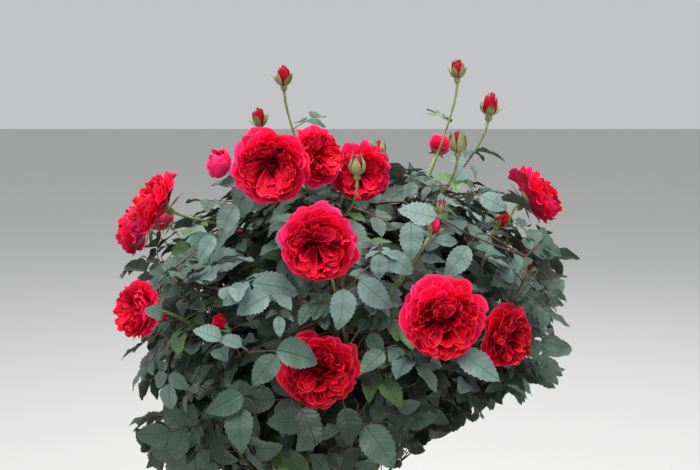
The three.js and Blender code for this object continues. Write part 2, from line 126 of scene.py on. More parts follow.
# By how many pairs of leaflets a leaf has: where they stand along its stalk, and their sizes
LEAFLETS_AT = {1: [0.62, 1], 2: [0.42, 0.74, 1], 3: [0.36, 0.6, 0.82, 1]}
LEAFLET_SIZES = {1: [0.8, 1], 2: [0.68, 0.86, 1], 3: [0.58, 0.76, 0.88, 1]}
# How far a leaf stalk droops, as a share of its length
STALK_DROOP = 0.09
# The first counters of the draws for branchlets, for leaves at the front and for those on flower stalks
BRANCHLET_SEED, FRONT_SEED, STALK_SEED = 4000, 900, 7000

# Leaf tints and petal tones, as slots of their materials
DEEP, BLUE, GREY, YOUNG, DUSK = range(5)
HEART, INNER, MIDDLE, OUTER, BLUSH, CLOSED = range(6)
# Blooms below this height sit low in the bush's shade: their petals are painted a tone deeper as shade, and
# have no blush
SHADED_BELOW = 0.64
# Above these heights more sprays are young, and some are grey, partly as painted light; left of this place
# fewer are grey and more are deep, as painted shade
YOUNG_ABOVE, GREY_ABOVE, SHADE_LEFT_OF = 0.76, 0.555, -0.05

# Blooms at the front: place, turn from the front and tilt up in degrees, diameter, and how hollow they are
BLOOMS = [
    ((-0.079, -0.205, 0.790), -5, -5, 0.078, 0.8), ((-0.033, -0.150, 0.798), 44, 22, 0.066, 0.8),
    ((0.012, -0.128, 0.779), 8, -6, 0.064, 1.0), ((-0.030, -0.235, 0.718), -2, -4, 0.078, 0.1),
    ((0.091, -0.250, 0.647), 4, -8, 0.084, 0.35), ((-0.030, -0.228, 0.590), 8, -9, 0.080, 0.3),
    ((0.162, -0.190, 0.617), 40, -4, 0.066, 0.5),
]
# Blooms round the crown: how many, the first's bearing and the step to the next in degrees, how far in they
# sit, heights and diameters in turn, and their tilt: degrees at a height, and how many more over a rise
ROUND_BLOOMS = {"count": 10, "first": 10, "step": 23, "inset": 0.012,
                "heights": [0.738, 0.640, 0.565, 0.700], "across": [0.076, 0.070, 0.082, 0.066],
                "tilt": (-4, 0.56, 34, 0.19)}
# Half-open blooms: place, turn, tilt and diameter
HALF_OPEN = [
    ((-0.134, -0.122, 0.785), -72, 26, 0.036), ((-0.129, -0.214, 0.636), -40, 35, 0.017),
    ((0.112, 0.150, 0.784), 150, 48, 0.034), ((-0.225, 0.080, 0.700), -112, 36, 0.038),
    ((0.030, 0.252, 0.640), 176, 30, 0.034),
]
# Buds: place, turn, tilt and diameter, and how far they have opened
BUDS = [
    ((-0.070, -0.110, 0.877), -20, 84, 0.015, 0.75), ((0.117, -0.060, 0.883), 0, 88, 0.014, 0.65),
    ((0.149, -0.100, 0.846), 40, 80, 0.017, 1.0), ((0.108, -0.190, 0.813), 10, 82, 0.015, 0.25),
    ((0.007, -0.208, 0.791), 0, 86, 0.014, 0.12), ((0.160, -0.128, 0.727), 60, 50, 0.013, 0.8),
    ((-0.095, -0.128, 0.834), -50, 78, 0.014, 0.85), ((-0.085, 0.060, 0.792), -150, 74, 0.015, 0.5),
    ((0.036, 0.120, 0.784), 170, 74, 0.014, 0.3), ((0.090, -0.214, 0.752), 10, 70, 0.008, 0.0),
    ((0.084, -0.210, 0.731), 60, 60, 0.012, 0.9), ((-0.030, 0.060, 0.786), 200, 72, 0.009, 0.0),
]

# The camera of the photograph: where it looks, its pitch down, its distance, its frame in pixels, and how
# large a pixel is at the front of the bush
FOCUS = np.array([0, -0.2, 0.722])
PITCH = math.radians(8)
DISTANCE = 1.3
FRAME_WIDE, FRAME_HIGH = 700, 470
FOCAL_PIXELS = 1300
SENSOR = 36
PIXEL = 0.00096

# Leaves that stand out at the front: the end leaflet's base and tip in the photograph's pixels and, if they
# aren't as for the rest, how far it stands ahead of them in metres and its tint
FRONT_LEAVES = [
    ((343, 289), (343, 331)), ((411, 221), (411, 263)), ((252, 284), (306, 287)), ((250, 286), (225, 308)),
    ((269, 296), (236, 315)), ((279, 316), (279, 338)), ((240, 407), (237, 453)), ((242, 394), (208, 416)),
    ((277, 355), (257, 389)), ((276, 351), (321, 357), 0.026), ((457, 352), (502, 389)),
    ((359, 281), (393, 309)), ((380, 254), (378, 280)), ((385, 254), (414, 274)),
    ((437, 219), (397, 208)), ((365, 426), (396, 470)), ((221, 340), (194, 326)),
    ((241, 347), (217, 330)), ((384, 352), (360, 375)),
    # The two leaves tinted deep, low in the middle, are darker as painted shade
    ((300, 408), (318, 446), 0, DEEP), ((468, 246), (448, 282)), ((246, 189), (234, 221)),
    ((241, 181), (219, 182)), ((311, 166), (326, 199), 0.01), ((214, 236), (197, 262)),
    ((480, 196), (506, 212)), ((236, 205), (216, 236)), ((345, 408), (352, 446), 0, DEEP),
]
# How far behind the crown's face they stand
SET_BACK = 0.022
# Front leaves above this pixel row, or right of this pixel column, are grey, partly as painted light on the
# upper and right side of the crown, and the others blue
PALE_ABOVE, PALE_RIGHT = 350, 450

# The cells that leaves are fitted into: their size, the lowest corner, how many, and what each can be
CELL = 0.005
GRID_LOW = np.array([-0.33, -0.33, 0.24])
GRID_SHAPE = (132, 132, 140)
FREE, HELD, TAKEN, OUTSIDE = range(4)
# No room is held back further than this from a flower
HOLD_REACH = 0.22
# A leaflet has room with smaller shares than these of its test points in barred cells and in taken ones
FEW_BARRED, FEW_TAKEN = 0.03, 0.1


# Sizes and colours that a user may change
def colour(label, words, default):
    return FloatVectorProperty(name=label, description=words, subtype="COLOR", size=3, min=0, max=1,
                               default=default)


def metres(label, words, default):
    return FloatProperty(name=label, description=words, unit="LENGTH", min=0, default=default)


class RosePotSettings(bpy.types.PropertyGroup):
    clay: colour("Clay", "Fired clay of the pot", (0.47, 0.165, 0.072))
    salts: colour("Salts", "Pale bloom on the clay", (0.62, 0.40, 0.28))
    soil: colour("Soil", "Potting soil", (0.036, 0.021, 0.013))
    ring_depth: metres("Ring depth", "Depth of the throwing rings", 0.0004)


class RoseLeafSettings(bpy.types.PropertyGroup):
    # The deep green is partly the darker colour of old leaves and partly painted shade inside and low in the
    # bush
    deep: colour("Deep green", "Old leaves inside the bush", (0.015, 0.033, 0.021))
    blue: colour("Blue green", "Most full-grown leaves", (0.055, 0.096, 0.079))
    # The grey green is partly a pale bloom and partly painted light and sheen on upper and front leaves
    grey: colour("Grey green", "Leaves with a pale bloom", (0.148, 0.214, 0.208))
    young: colour("Young green", "Leaves near the shoot tips", (0.100, 0.175, 0.070))
    dusk: colour("Dusk", "Leaves with a purple cast", (0.086, 0.116, 0.104))
    wood: colour("Old wood", "Bark of the rootstock", (0.115, 0.088, 0.052))
    cane: colour("Cane", "Bark of canes and boughs", (0.085, 0.098, 0.036))
    shoot: colour("Shoot", "Reddish young shoots", (0.118, 0.036, 0.028))
    stalk: colour("Stalk", "Flower stalks and sepals", (0.230, 0.310, 0.100))
    length: metres("Leaflet length", "Length of the end leaflet", 0.045)
    rachis: metres("Leaf stalk", "Length of the leaf stalk up to the end leaflet", 0.056)
    teeth: FloatProperty(name="Teeth", description="Depth of the teeth as a share of the half width",
                         subtype="FACTOR", min=0, max=0.4, default=0.12)


class RoseBloomSettings(bpy.types.PropertyGroup):
    # From the guard petals in to the heart the tones grow darker, partly the petals' own deeper colour and
    # partly painted shade deep in the bloom; the outer tone's pink cast is partly painted sky light on the
    # lit guard petals
    heart: colour("Heart", "Petals deep in the bloom", (0.42, 0.001, 0.007))
    inner: colour("Inner petals", "Folded petals", (0.68, 0.001, 0.014))
    middle: colour("Middle petals", "Cupped petals", (0.84, 0.003, 0.042))
    outer: colour("Outer petals", "Guard petals", (0.92, 0.009, 0.082))
    blush: colour("Blush", "Petals with a pink cast", (0.95, 0.018, 0.150))
    closed: colour("Closed bud", "Petals of a bud that is still closed", (0.22, 0.003, 0.022))
    guards: IntProperty(name="Guard petals", description="Petals in a full ring", min=5, max=12, default=8)
    quarters: IntProperty(name="Quarters", description="Groups of folded petals", min=3, max=7, default=5)
    ruffles: IntProperty(name="Ruffles", description="Loose petals among the folds", min=0, max=40,
                         default=28)


class RoseStudioSettings(bpy.types.PropertyGroup):
    floor: colour("Floor", "Pale floor", (0.60, 0.60, 0.59))
    key: FloatProperty(name="Key light", description="Power of the soft key light", subtype="POWER",
                       unit="POWER", min=0, default=27)
    sky: FloatProperty(name="Sky", description="Strength of the even light", min=0, default=0.56)


class RoseSettings(bpy.types.PropertyGroup):
    pot: PointerProperty(type=RosePotSettings)
    leaf: PointerProperty(type=RoseLeafSettings)
    bloom: PointerProperty(type=RoseBloomSettings)
    studio: PointerProperty(type=RoseStudioSettings)


# Numbers and directions
def chance(a, b, c):
    """A repeatable number from 0 to 1: the fraction left of a large sine of three counters."""
    s = np.sin(np.asarray(a) * 127.1 + b * 311.7 + c * 74.7) * 43758.5453
    return s - np.floor(s)


def spread(a, b, c):
    """The same from -1 to 1."""
    return chance(a, b, c) * 2 - 1


def unit(v):
    """A direction, or rows of them, at length one."""
    return v / np.maximum(np.linalg.norm(v, axis=-1, keepdims=True), 1e-12)


def around(tangent, angle):
    """The direction square to a line at an angle round it, counted from the level."""
    level = np.cross(tangent, UP)
    level = np.array([1.0, 0, 0]) if level @ level < 1e-9 else unit(level)
    steep = unit(np.cross(tangent, level))
    return level * math.cos(angle) + steep * math.sin(angle)


def facing(turn, tilt):
    """The direction at a turn from the front and a tilt above level, in degrees."""
    t, e = math.radians(turn), math.radians(tilt)
    return np.array([math.sin(t) * math.cos(e), -math.cos(t) * math.cos(e), math.sin(e)])


def bump(x, low, high):
    """0 below low, 1 above high, and three t squared less two t cubed for the share t of the way between."""
    t = np.clip((x - low) / (high - low), 0, 1)
    return t * t * (3 - 2 * t)


def draws(seeds, table):
    """Two draws for every seed, from 0 to 1 and from -1 to 1, each a column picked by a counter."""
    def draw(counter):
        return chance(seeds, counter, table)[:, None]

    def swing(counter):
        return spread(seeds, counter, table + 1)[:, None]

    return draw, swing


def ripple(v, radians, phase):
    """A sine along v, at so many radians for each unit of v, and a phase that is a share of a turn."""
    return np.sin(v * radians + WHOLE_TURN * phase)


def full_turn(sides):
    """Even angles once round."""
    return np.linspace(0, 2 * math.pi, sides, endpoint=False)


def nodes_of(start):
    """The names of the CAD nodes that start this way."""
    return [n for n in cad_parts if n.startswith(start)]


class Bezier:
    """A curve on its control points, read by its share of length."""

    def __init__(self, *controls):
        self.controls = np.array(controls, float)
        self.times = np.linspace(0, 1, 201)
        steps = np.linalg.norm(np.diff(self.raw(self.times, self.controls), axis=0), axis=1)
        self.run = np.concatenate([[0], np.cumsum(steps)])
        self.length = self.run[-1]

    def raw(self, t, controls):
        """The sum of the control points, each times its Bernstein weight at time t."""
        n = len(controls) - 1
        weights = [math.comb(n, k) * t ** k * (1 - t) ** (n - k) for k in range(n + 1)]
        return np.einsum("k...,kx->...x", np.array(weights), controls)

    def at(self, share):
        return self.raw(np.interp(np.asarray(share) * self.length, self.run, self.times), self.controls)

    def heading(self, share):
        """The direction of the curve: its hodograph at length one."""
        t = np.interp(np.asarray(share) * self.length, self.run, self.times)
        return unit(self.raw(t, np.diff(self.controls, axis=0)))


# Skins: grids of points that become meshes
class Skin:
    """Points with a UV each, and faces of three or four corners with a material each."""

    def __init__(self):
        self.points, self.uvs = [], []
        self.faces = {3: [], 4: []}
        self.slots = {3: [], 4: []}
        self.count = 0

    def add(self, points, uv, faces, slot=0):
        """Copies of one patch: points (copies, n, 3), uv (n, 2), and faces as arrays of corners."""
        points = np.asarray(points, float)
        points = points[None] if points.ndim == 2 else points
        copies, n = points.shape[:2]
        starts = self.count + np.arange(copies) * n
        slot = np.broadcast_to(np.asarray(slot), (copies,))
        self.points.append(points.reshape(-1, 3))
        self.uvs.append(np.broadcast_to(uv, (copies, n, 2)).reshape(-1, 2))
        for corners in faces:
            k = corners.shape[1]
            self.faces[k].append((starts[:, None, None] + corners).reshape(-1, k))
            self.slots[k].append(np.repeat(slot, len(corners)))
        self.count += copies * n

    def piece(self, name, materials, node_slot, *nodes):
        """The mesh object of the skin, riding on the bush and standing for its CAD nodes."""
        stack = {k: np.concatenate(f) if f else np.zeros((0, k), int) for k, f in self.faces.items()}
        slots = np.concatenate(self.slots[4] + self.slots[3])
        loops = np.concatenate([stack[4].ravel(), stack[3].ravel()]).astype(np.int32)
        starts = np.concatenate([np.arange(len(stack[4])) * 4,
                                 len(stack[4]) * 4 + np.arange(len(stack[3])) * 3]).astype(np.int32)
        mesh = bpy.data.meshes.new(name)
        mesh.vertices.add(self.count)
        mesh.vertices.foreach_set("co", np.concatenate(self.points).astype(np.float32).ravel())
        mesh.loops.add(len(loops))
        mesh.loops.foreach_set("vertex_index", loops)
        mesh.polygons.add(len(starts))
        mesh.polygons.foreach_set("loop_start", starts)
        mesh.polygons.foreach_set("material_index", slots.astype(np.int32))
        mesh.polygons.foreach_set("use_smooth", np.ones(len(starts), bool))
        layer = mesh.uv_layers.new(name="UVMap")
        layer.data.foreach_set("uv", np.concatenate(self.uvs)[loops].astype(np.float32).ravel())
        mesh.update(calc_edges=True)
        if mesh.validate():
            raise RuntimeError(f"the mesh of {name} had bad faces")
        for material in materials:
            mesh.materials.append(material)
        made = bpy.data.objects.new(name, mesh)
        bpy.context.scene.collection.objects.link(made)
        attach(made, "root")
        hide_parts(*nodes)


def grid_faces(rows, columns, closed=False):
    """Quads of a grid of points, closed round its columns if asked, facing rows times columns."""
    across = columns if closed else columns - 1
    r, c = np.meshgrid(np.arange(rows - 1), np.arange(across), indexing="ij")
    a, b = r * columns + c, r * columns + (c + 1) % columns
    return np.stack([a, a + columns, b + columns, b], axis=-1).reshape(-1, 4)


def grid_uv(rows, columns, closed=False):
    """UVs over a grid: U runs along the rows and V across the columns."""
    u, v = np.meshgrid(np.linspace(0, 1, rows), np.linspace(0, 1, columns + closed)[:columns], indexing="ij")
    return np.stack([u, v], axis=-1).reshape(-1, 2)


def petal_grid(rows, columns):
    """A petal's u from 0 to 1 and v from -1 to 1, each as one row, and its UVs and faces."""
    u, v = np.meshgrid(np.linspace(0, 1, rows), np.linspace(-1, 1, columns), indexing="ij")
    return u.ravel()[None], v.ravel()[None], grid_uv(rows, columns), [grid_faces(rows, columns)]


def cap_faces(first, count, ring, outwards):
    """A fan from one point to a ring of points."""
    i = np.arange(count)
    a, b = ring + i, ring + (i + 1) % count
    middle = np.full(count, first)
    return np.stack([middle, a, b] if outwards else [middle, b, a], axis=-1)


def capped(rows, sides, flip=False):
    """UVs and faces of rings of points that are closed at both ends by points, the last two of all."""
    last = rows * sides
    uv = np.concatenate([grid_uv(rows, sides, True), [[0, 0.5], [1, 0.5]]])
    quads = grid_faces(rows, sides, True)
    tris = np.concatenate([cap_faces(last, sides, 0, not flip),
                           cap_faces(last + 1, sides, last - sides, flip)])
    return uv, [quads[:, ::-1] if flip else quads, tris]


def path_frames(path):
    """The direction of a path at each point and two square to it, from one fixed direction that is least
    along the path."""
    tangents = unit(np.gradient(path, axis=0))
    ref = np.eye(3)[np.argmin(np.abs(path[-1] - path[0]))]
    level = unit(np.cross(tangents, ref))
    return tangents, level, np.cross(tangents, level)


def add_tube(skin, path, radii, sides, slot=0, relief=None):
    """A closed tube: a circle of the given radius, times its relief, carried square to the path."""
    tangents, level, steep = path_frames(path)
    turn = full_turn(sides)
    ring = np.cos(turn)[None, :, None] * level[:, None] + np.sin(turn)[None, :, None] * steep[:, None]
    reach = np.broadcast_to(np.asarray(radii, float).reshape(-1, 1), (len(path), sides))
    if relief is not None:
        reach = reach * relief
    body = path[:, None] + ring * reach[..., None]
    ends = [path[0] - tangents[0] * reach[0].mean() * 0.3, path[-1] + tangents[-1] * reach[-1].mean() * 0.5]
    skin.add(np.concatenate([body.reshape(-1, 3), ends]), *capped(len(path), sides), slot)


def add_turned(skin, origin, axis, profile, sides, relief=None, slot=0):
    """A turned shape: each radius and height of the profile swept round the axis, poles closed."""
    profile = np.asarray(profile, float)
    level = np.array([1.0, 0, 0]) if abs(axis[2]) > 0.999 else unit(np.cross(axis, UP))
    steep = np.cross(axis, level)
    turn = full_turn(sides)
    ring = np.cos(turn)[:, None] * level + np.sin(turn)[:, None] * steep
    inner = profile[1:-1]
    reach = np.broadcast_to(inner[:, :1], (len(inner), sides))
    reach = reach if relief is None else reach + relief
    body = origin + ring[None] * reach[..., None] + axis * inner[:, 1][:, None, None]
    ends = origin + axis * profile[[0, -1], 1][:, None]
    skin.add(np.concatenate([body.reshape(-1, 3), ends]), *capped(len(inner), sides, True), slot)


# The rule of growth
def place_masses():
    """Which way each leaf mass stands, where its bough ends and how its own stem runs."""
    masses = []
    for tier, count, first, step, radius, height, fork_at in TIERS:
        for i in range(count):
            angle = math.radians(first + i * step)
            out = np.array([math.cos(angle), math.sin(angle), 0])
            centre = out * radius + UP * height
            entry = out * radius * ENTRY_INWARD + UP * (height - ENTRY_DROP)
            heading = unit(centre - entry)
            tip = centre + out * radius * TIP_BEYOND + UP * TIP_ABOVE
            foot = entry + heading * STEM_GAP
            stem = Bezier(foot, foot + heading * STEM_RISE, tip)
            masses.append({"tier": tier, "angle": angle, "out": out, "entry": entry, "heading": heading,
                           "tip": tip, "stem": stem, "fork_at": fork_at})
    return masses


def cane_curve(mass):
    """A cane rises out of the knuckle and arches out to its mass."""
    foot = UP * (SOIL_TOP + STOCK_HEIGHT * CANE_AT) + mass["out"] * CANE_OFF
    rise = foot + mass["out"] * CANE_OUT + UP * CANE_UP
    return Bezier(foot, rise, mass["entry"] - mass["heading"] * CANE_TURN, mass["entry"])


def bough_curve(mass, canes):
    """A side bough leaves the nearest cane, each a little further up than the last of its tier there."""
    def near(cane):
        return abs((cane["angle"] - mass["angle"] + 3 * math.pi) % (2 * math.pi) - math.pi)

    cane = min(canes, key=near)
    at = mass["fork_at"] + FORK_STEP * cane["forks"].count(mass["tier"])
    cane["forks"].append(mass["tier"])
    foot = cane["curve"].at(at)
    away = mass["entry"] - foot
    reach = np.linalg.norm(away)
    rise = foot + unit(away * [1, 1, 0]) * BOUGH_OUT * reach
    rise = rise + cane["curve"].heading(at) * BOUGH_ALONG * reach
    return Bezier(foot, rise, mass["entry"] - mass["heading"] * BOUGH_TURN * reach, mass["entry"])


def in_crown(p):
    """Inside a superellipsoid whose lower reach is undercut towards the front right."""
    q = np.abs(p - CROWN["middle"])
    gap = np.maximum(0, np.cos(np.arctan2(p[..., 1], p[..., 0]) - CROWN["gap_at"]))
    above = p[..., 2] > CROWN["middle"][2]
    deep = np.where(above, CROWN["reach"][2], CROWN["below"] - CROWN["undercut"] * gap)
    power = CROWN["power"]
    share = (q[..., 0] / CROWN["reach"][0]) ** power + (q[..., 1] / CROWN["reach"][1]) ** power
    return share + (q[..., 2] / deep) ** power <= 1


def lumps(p):
    """How far the sprays stop short of the crown, from sums of sines of the direction from its core."""
    d = unit(p - CROWN["core"])
    wave = np.sin(d[..., 0] * 7 + 2 * np.sin(d[..., 2] * 5)) + np.sin(d[..., 1] * 8 + 1 + d[..., 2] * 6)
    wave = wave + 0.8 * np.sin(d[..., 0] * 13 - d[..., 1] * 11 + d[..., 2] * 9)
    gap = np.maximum(0, np.cos(np.arctan2(p[..., 1], p[..., 0]) - CROWN["gap_at"]))
    return 1.055 + 0.055 * wave + 0.16 * gap ** 3 * bump(CROWN["middle"][2] - p[..., 2], 0, 0.1)


def in_sprays(p):
    """Inside the crown drawn in by its lumps."""
    return in_crown(CROWN["core"] + (p - CROWN["core"]) * lumps(p)[..., None])


def crown_edge(angle, z):
    """The crown's level reach at a height, walked in from outside a millimetre at a time."""
    r = CROWN["reach"][0]
    while r > 0.02 and not in_crown(np.array([r * math.cos(angle), r * math.sin(angle), z])):
        r -= 0.001
    return r


def place_flowers(masses):
    """The blooms at the front, those round the crown, and the buds, each on its nearest mass."""
    def flower(kind, at, turn, tilt, across, hollow=0.3, far=0, front=False):
        deep = across * BEHIND[kind] + (BEHIND_BLOOM if kind == "bloom" else 0)
        return {"kind": kind, "at": np.array(at), "face": facing(turn, tilt), "across": across,
                "deep": deep, "hollow": hollow, "open": far, "front": front}

    flowers = [flower("bloom", *row, front=True) for row in BLOOMS]
    for i in range(ROUND_BLOOMS["count"]):
        degrees = ROUND_BLOOMS["first"] + i * ROUND_BLOOMS["step"]
        angle, z = math.radians(degrees), ROUND_BLOOMS["heights"][i % 4]
        r = crown_edge(angle, z) - ROUND_BLOOMS["inset"]
        across = ROUND_BLOOMS["across"][(i * 3) % 4]
        tilt, low, more, rise = ROUND_BLOOMS["tilt"]
        flowers.append(flower("bloom", (r * math.cos(angle), r * math.sin(angle), z), degrees + 90,
                              tilt + more * ((z - low) / rise), across, float(chance(i, 4, 7))))
    flowers += [flower("half", *row) for row in HALF_OPEN]
    flowers += [flower("bud", *row, far=far) for *row, far in BUDS]
    for i, each in enumerate(flowers):
        nearest = min(masses, key=lambda m: np.linalg.norm(each["at"] - m["tip"]))
        foot = nearest["stem"].at(0.45 + 0.4 * float(chance(i, 7, 3)))
        behind = each["at"] - each["face"] * each["deep"]
        reach = np.linalg.norm(behind - foot)
        rise = foot + (behind - foot) * 0.35 + UP * reach * 0.06
        bend = behind - each["face"] * min(0.034, reach * 0.35)
        each["stalk"] = Bezier(foot, rise, bend, behind)
    return flowers


def shoot_from(curve, share, angle, lean, length, lift=0.2):
    """A shoot that leaves a curve at a lean, at an angle round it, and bends up a little."""
    tangent = curve.heading(share)
    heading = unit(tangent * math.cos(lean) + around(tangent, angle) * math.sin(lean) + UP * lift)
    foot = curve.at(share)
    sag = unit(heading + UP * 0.25)
    return Bezier(foot, foot + heading * length * 0.5, foot + (heading * 0.4 + sag * 0.6) * length)


def grow_shoots(masses, canes, boughs):
    """Twigs on the stems at the golden angle, side shoots on them, and branchlets inside the bush."""
    shoots = []
    for index, mass in enumerate(masses):
        shoots.append({"curve": mass["stem"], "radii": STEM, "seed": index * 100, "kind": "stem"})
        for i, share in enumerate(TWIG_SHARES):
            lean = END_LEAN if i == END_TWIG else TWIG_SPREAD + 0.25 * float(spread(index, i, 1))
            length = TWIG_LENGTH * (1 + 0.3 * float(spread(index, i, 2)))
            twig = shoot_from(mass["stem"], share, GOLDEN * i + index * 1.3, lean, length)
            seed = index * 100 + 10 + i
            shoots.append({"curve": twig, "radii": TWIG, "seed": seed, "kind": "twig"})
            for j, (at, reach) in enumerate(SIDE_SHOOTS):
                side = shoot_from(twig, at, GOLDEN * (i + 3 * j) + index, SIDE_LEAN, reach)
                shoots.append({"curve": side, "radii": SIDE, "seed": seed * 7 + j, "kind": "side"})
    limbs = [("cane", c["curve"]) for c in canes] + [("bough", b) for b in boughs]
    for index, (kind, curve) in enumerate(limbs):
        for j, share in enumerate(BRANCHLETS[kind]):
            length = BRANCHLET_LENGTH + BRANCHLET_VARIES * float(chance(index, j, 4))
            branchlet = shoot_from(curve, share, GOLDEN * j + index * 2.1, BRANCHLET_LEAN, length,
                                   BRANCHLET_LIFT)
            seed = BRANCHLET_SEED + index * 10 + j
            shoots.append({"curve": branchlet, "radii": TWIG, "seed": seed, "kind": "inner"})
            side = shoot_from(branchlet, angle=GOLDEN * j, **BRANCHLET_SIDE)
            shoots.append({"curve": side, "radii": SIDE, "seed": seed * 7, "kind": "side"})
    return [s for s in shoots if s["kind"] == "stem" or in_sprays(s["curve"].at(1))]


# Leaves
def outline(u):
    """The half width of a leaflet along its length: a power of u times a power of what is left."""
    return u ** 0.62 * (1 - u) ** 0.9 / 0.3578


def blade(feet, outs, normals, lengths, seeds, u, v):
    """Points of leaflets on a grid: the outline times v across, folded up along the midrib by a share
    of the distance from it, drooping and bent aside with the square of u, waved along the edge and twisted
    with u."""
    sides = np.cross(normals, outs)
    wide = (0.262 + 0.08 * chance(seeds, 2, 1))[:, None] * lengths[:, None]
    y = wide * outline(u) * v
    fold = (0.08 + 0.42 * chance(seeds, 1, 1))[:, None]
    droop = (0.05 + 0.32 * chance(seeds, 2, 2))[:, None]
    phase = (WHOLE_TURN * chance(seeds, 3, 1))[:, None]
    wave = 0.026 * lengths[:, None] * np.sin(2 * math.pi * 2.3 * u + phase) * np.abs(v) * bump(u, 0, 0.4)
    z = fold * np.abs(y) - droop * lengths[:, None] * u ** 2 + wave
    x = lengths[:, None] * u * (1 - 0.25 * droop * u)
    bend = 0.12 * spread(seeds, 4, 1)[:, None] * lengths[:, None] * u ** 2
    turn = 0.5 * spread(seeds, 5, 1)[:, None] * u
    y, z = y * np.cos(turn) - z * np.sin(turn) + bend, y * np.sin(turn) + z * np.cos(turn)
    return feet[:, None] + outs[:, None] * x[..., None] + sides[:, None] * y[..., None] \
        + normals[:, None] * z[..., None]


# What a leaf lists for each leaflet, where a leaflet is tested for room, and the rows of its teeth
LEAFLET = ("feet", "outs", "normals", "lengths", "seeds")
TEST_U, TEST_V = (g.ravel() for g in np.meshgrid(np.linspace(0.06, 0.97, 9), np.linspace(-0.9, 0.9, 5)))
LEAF_ROWS = 19


def leaf_grid(teeth):
    """The u and v of a leaflet's points: one at the base, rows of three whose outer ones step in and out
    as teeth that point forwards, and one at the tip."""
    rows = np.arange(1, LEAF_ROWS)
    u = np.repeat(rows / LEAF_ROWS, 3).reshape(-1, 3)
    tooth = np.where(rows % 2 == 1, 1, -1)[:, None] * np.array([1, 0, 1])
    u = u + tooth * 0.3 / LEAF_ROWS
    v = np.array([-1, 0, 1]) * (1 + teeth * 0.5 * tooth)
    return np.concatenate([[0], u.ravel(), [1]]), np.concatenate([[0], v.ravel(), [0]])


def leaf_faces():
    """Quads between the rows, and triangles to the base and to the tip."""
    last = (LEAF_ROWS - 1) * 3 + 1
    quads = grid_faces(LEAF_ROWS - 1, 3) + 1
    tris = np.array([[0, 1, 2], [0, 2, 3], [last - 3, last, last - 2], [last - 2, last, last - 1]])
    return [quads, tris]


class Room:
    """The space round the crown as cells: free, held back for a flower or the pot, taken by a leaf or
    wood, or outside the sprays."""

    def __init__(self, flowers, curves):
        axes = [GRID_LOW[k] + (np.arange(GRID_SHAPE[k]) + 0.5) * CELL for k in range(3)]
        p = np.stack(np.meshgrid(*axes, indexing="ij"), axis=-1).astype(np.float32)
        self.cells = np.where(in_sprays(p), FREE, OUTSIDE).astype(np.int8)
        over_pot = (np.hypot(p[..., 0], p[..., 1]) < 0.18) & (p[..., 2] < POT["height"] + 0.012)
        self.cells[over_pot] = HELD
        eye = camera_place()
        for f in flowers:
            if f["kind"] == "bud":
                continue
            # A column from behind its hip to before its face, a disc round its rim, and the way to the camera
            self.hold(p, f["at"], f["face"], -0.31 * f["across"] - 0.006, 0.085, f["across"] * 0.47)
            self.hold(p, f["at"], f["face"], -0.022, 0.024, f["across"] * 0.55)
            if f["front"]:
                self.hold(p, f["at"], unit(eye - f["at"]), 0, 0.2, f["across"] * 0.43)
        for curve in curves:
            n = max(2, int(curve.length / 0.003))
            self.take(curve.at(np.linspace(0, 1, n)))

    def hold(self, p, at, axis, low, high, radius):
        """Holds back a cylinder from low to high along an axis."""
        box = [np.searchsorted(GRID_LOW[k] + np.arange(GRID_SHAPE[k]) * CELL,
                               [at[k] - HOLD_REACH, at[k] + HOLD_REACH]) for k in range(3)]
        part = tuple(slice(a, b) for a, b in box)
        d = p[part] - at
        ahead = d @ axis
        aside = np.linalg.norm(d - ahead[..., None] * axis, axis=-1)
        self.cells[part][(ahead > low) & (ahead < high) & (aside < radius)] = HELD

    def index(self, points):
        i = np.clip(((points - GRID_LOW) / CELL).astype(int), 0, np.array(GRID_SHAPE) - 1)
        return tuple(np.moveaxis(i, -1, 0))

    def take(self, points):
        i = self.index(points)
        self.cells[i] = np.where(self.cells[i] == HELD, HELD, TAKEN)

    def free(self, points, inside):
        """For each leaflet, whether hardly a cell is held back or, if asked, outside, and few are taken."""
        found = self.cells[self.index(points)]
        barred = (found == HELD) | (inside & (found == OUTSIDE))
        return (barred.mean(axis=-1) < FEW_BARRED) & ((found == TAKEN).mean(axis=-1) < FEW_TAKEN)


def lay_out_leaf(at, along, normal, scale, pairs, leaf, seed):
    """A compound leaf: pairs of leaflets on a rachis that droops with distance, and one at its end."""
    side = np.cross(normal, along)
    reach = leaf.rachis * scale
    feet, outs, lengths, places = [], [], [], []
    for k, (share, size) in enumerate(zip(LEAFLETS_AT[pairs], LEAFLET_SIZES[pairs])):
        foot = at + along * share * reach - normal * STALK_DROOP * reach * share ** 1.6
        for hand in ([-1, 1] if k < pairs else [0]):
            jitter = 0.12 * float(spread(seed, k, hand + 2))
            out = along * (0.5 + jitter if hand else 1) + side * hand * 0.86 - normal * 0.08 * abs(hand)
            feet.append(foot + side * hand * 0.0012)
            places.append(share)
            outs.append(unit(out))
            lengths.append(leaf.length * scale * size * (1 + 0.1 * float(spread(seed, k, hand + 7))))
    outs = np.array(outs)
    tilt = spread(np.arange(len(outs)) + seed * 0.7, 3, 9)[:, None] * 0.2
    normals = unit(normal - outs * (outs @ normal)[:, None] + np.cross(outs, normal) * tilt)
    seeds = seed + np.arange(len(outs)) * 0.61
    stem = Bezier(at, at + along * 0.5 * reach, at + along * reach - normal * STALK_DROOP * reach)
    return {"feet": np.array(feet), "outs": outs, "normals": normals, "lengths": np.array(lengths),
            "seeds": seeds, "places": np.array(places), "stem": stem}


def test_leaf(room, found, inside=True):
    """Which leaflets have room, and their test points."""
    points = blade(*(found[k] for k in LEAFLET), TEST_U, TEST_V)
    return room.free(points, inside), points


def keep_leaf(room, found, free, points, leaves, tint, petiole=None):
    """Takes the room of the free leaflets and keeps them."""
    for key in LEAFLET + ("places",):
        found[key] = found[key][free]
    room.take(points[free].reshape(-1, 3))
    found.update(tint=tint, petiole=petiole)
    leaves.append(found)


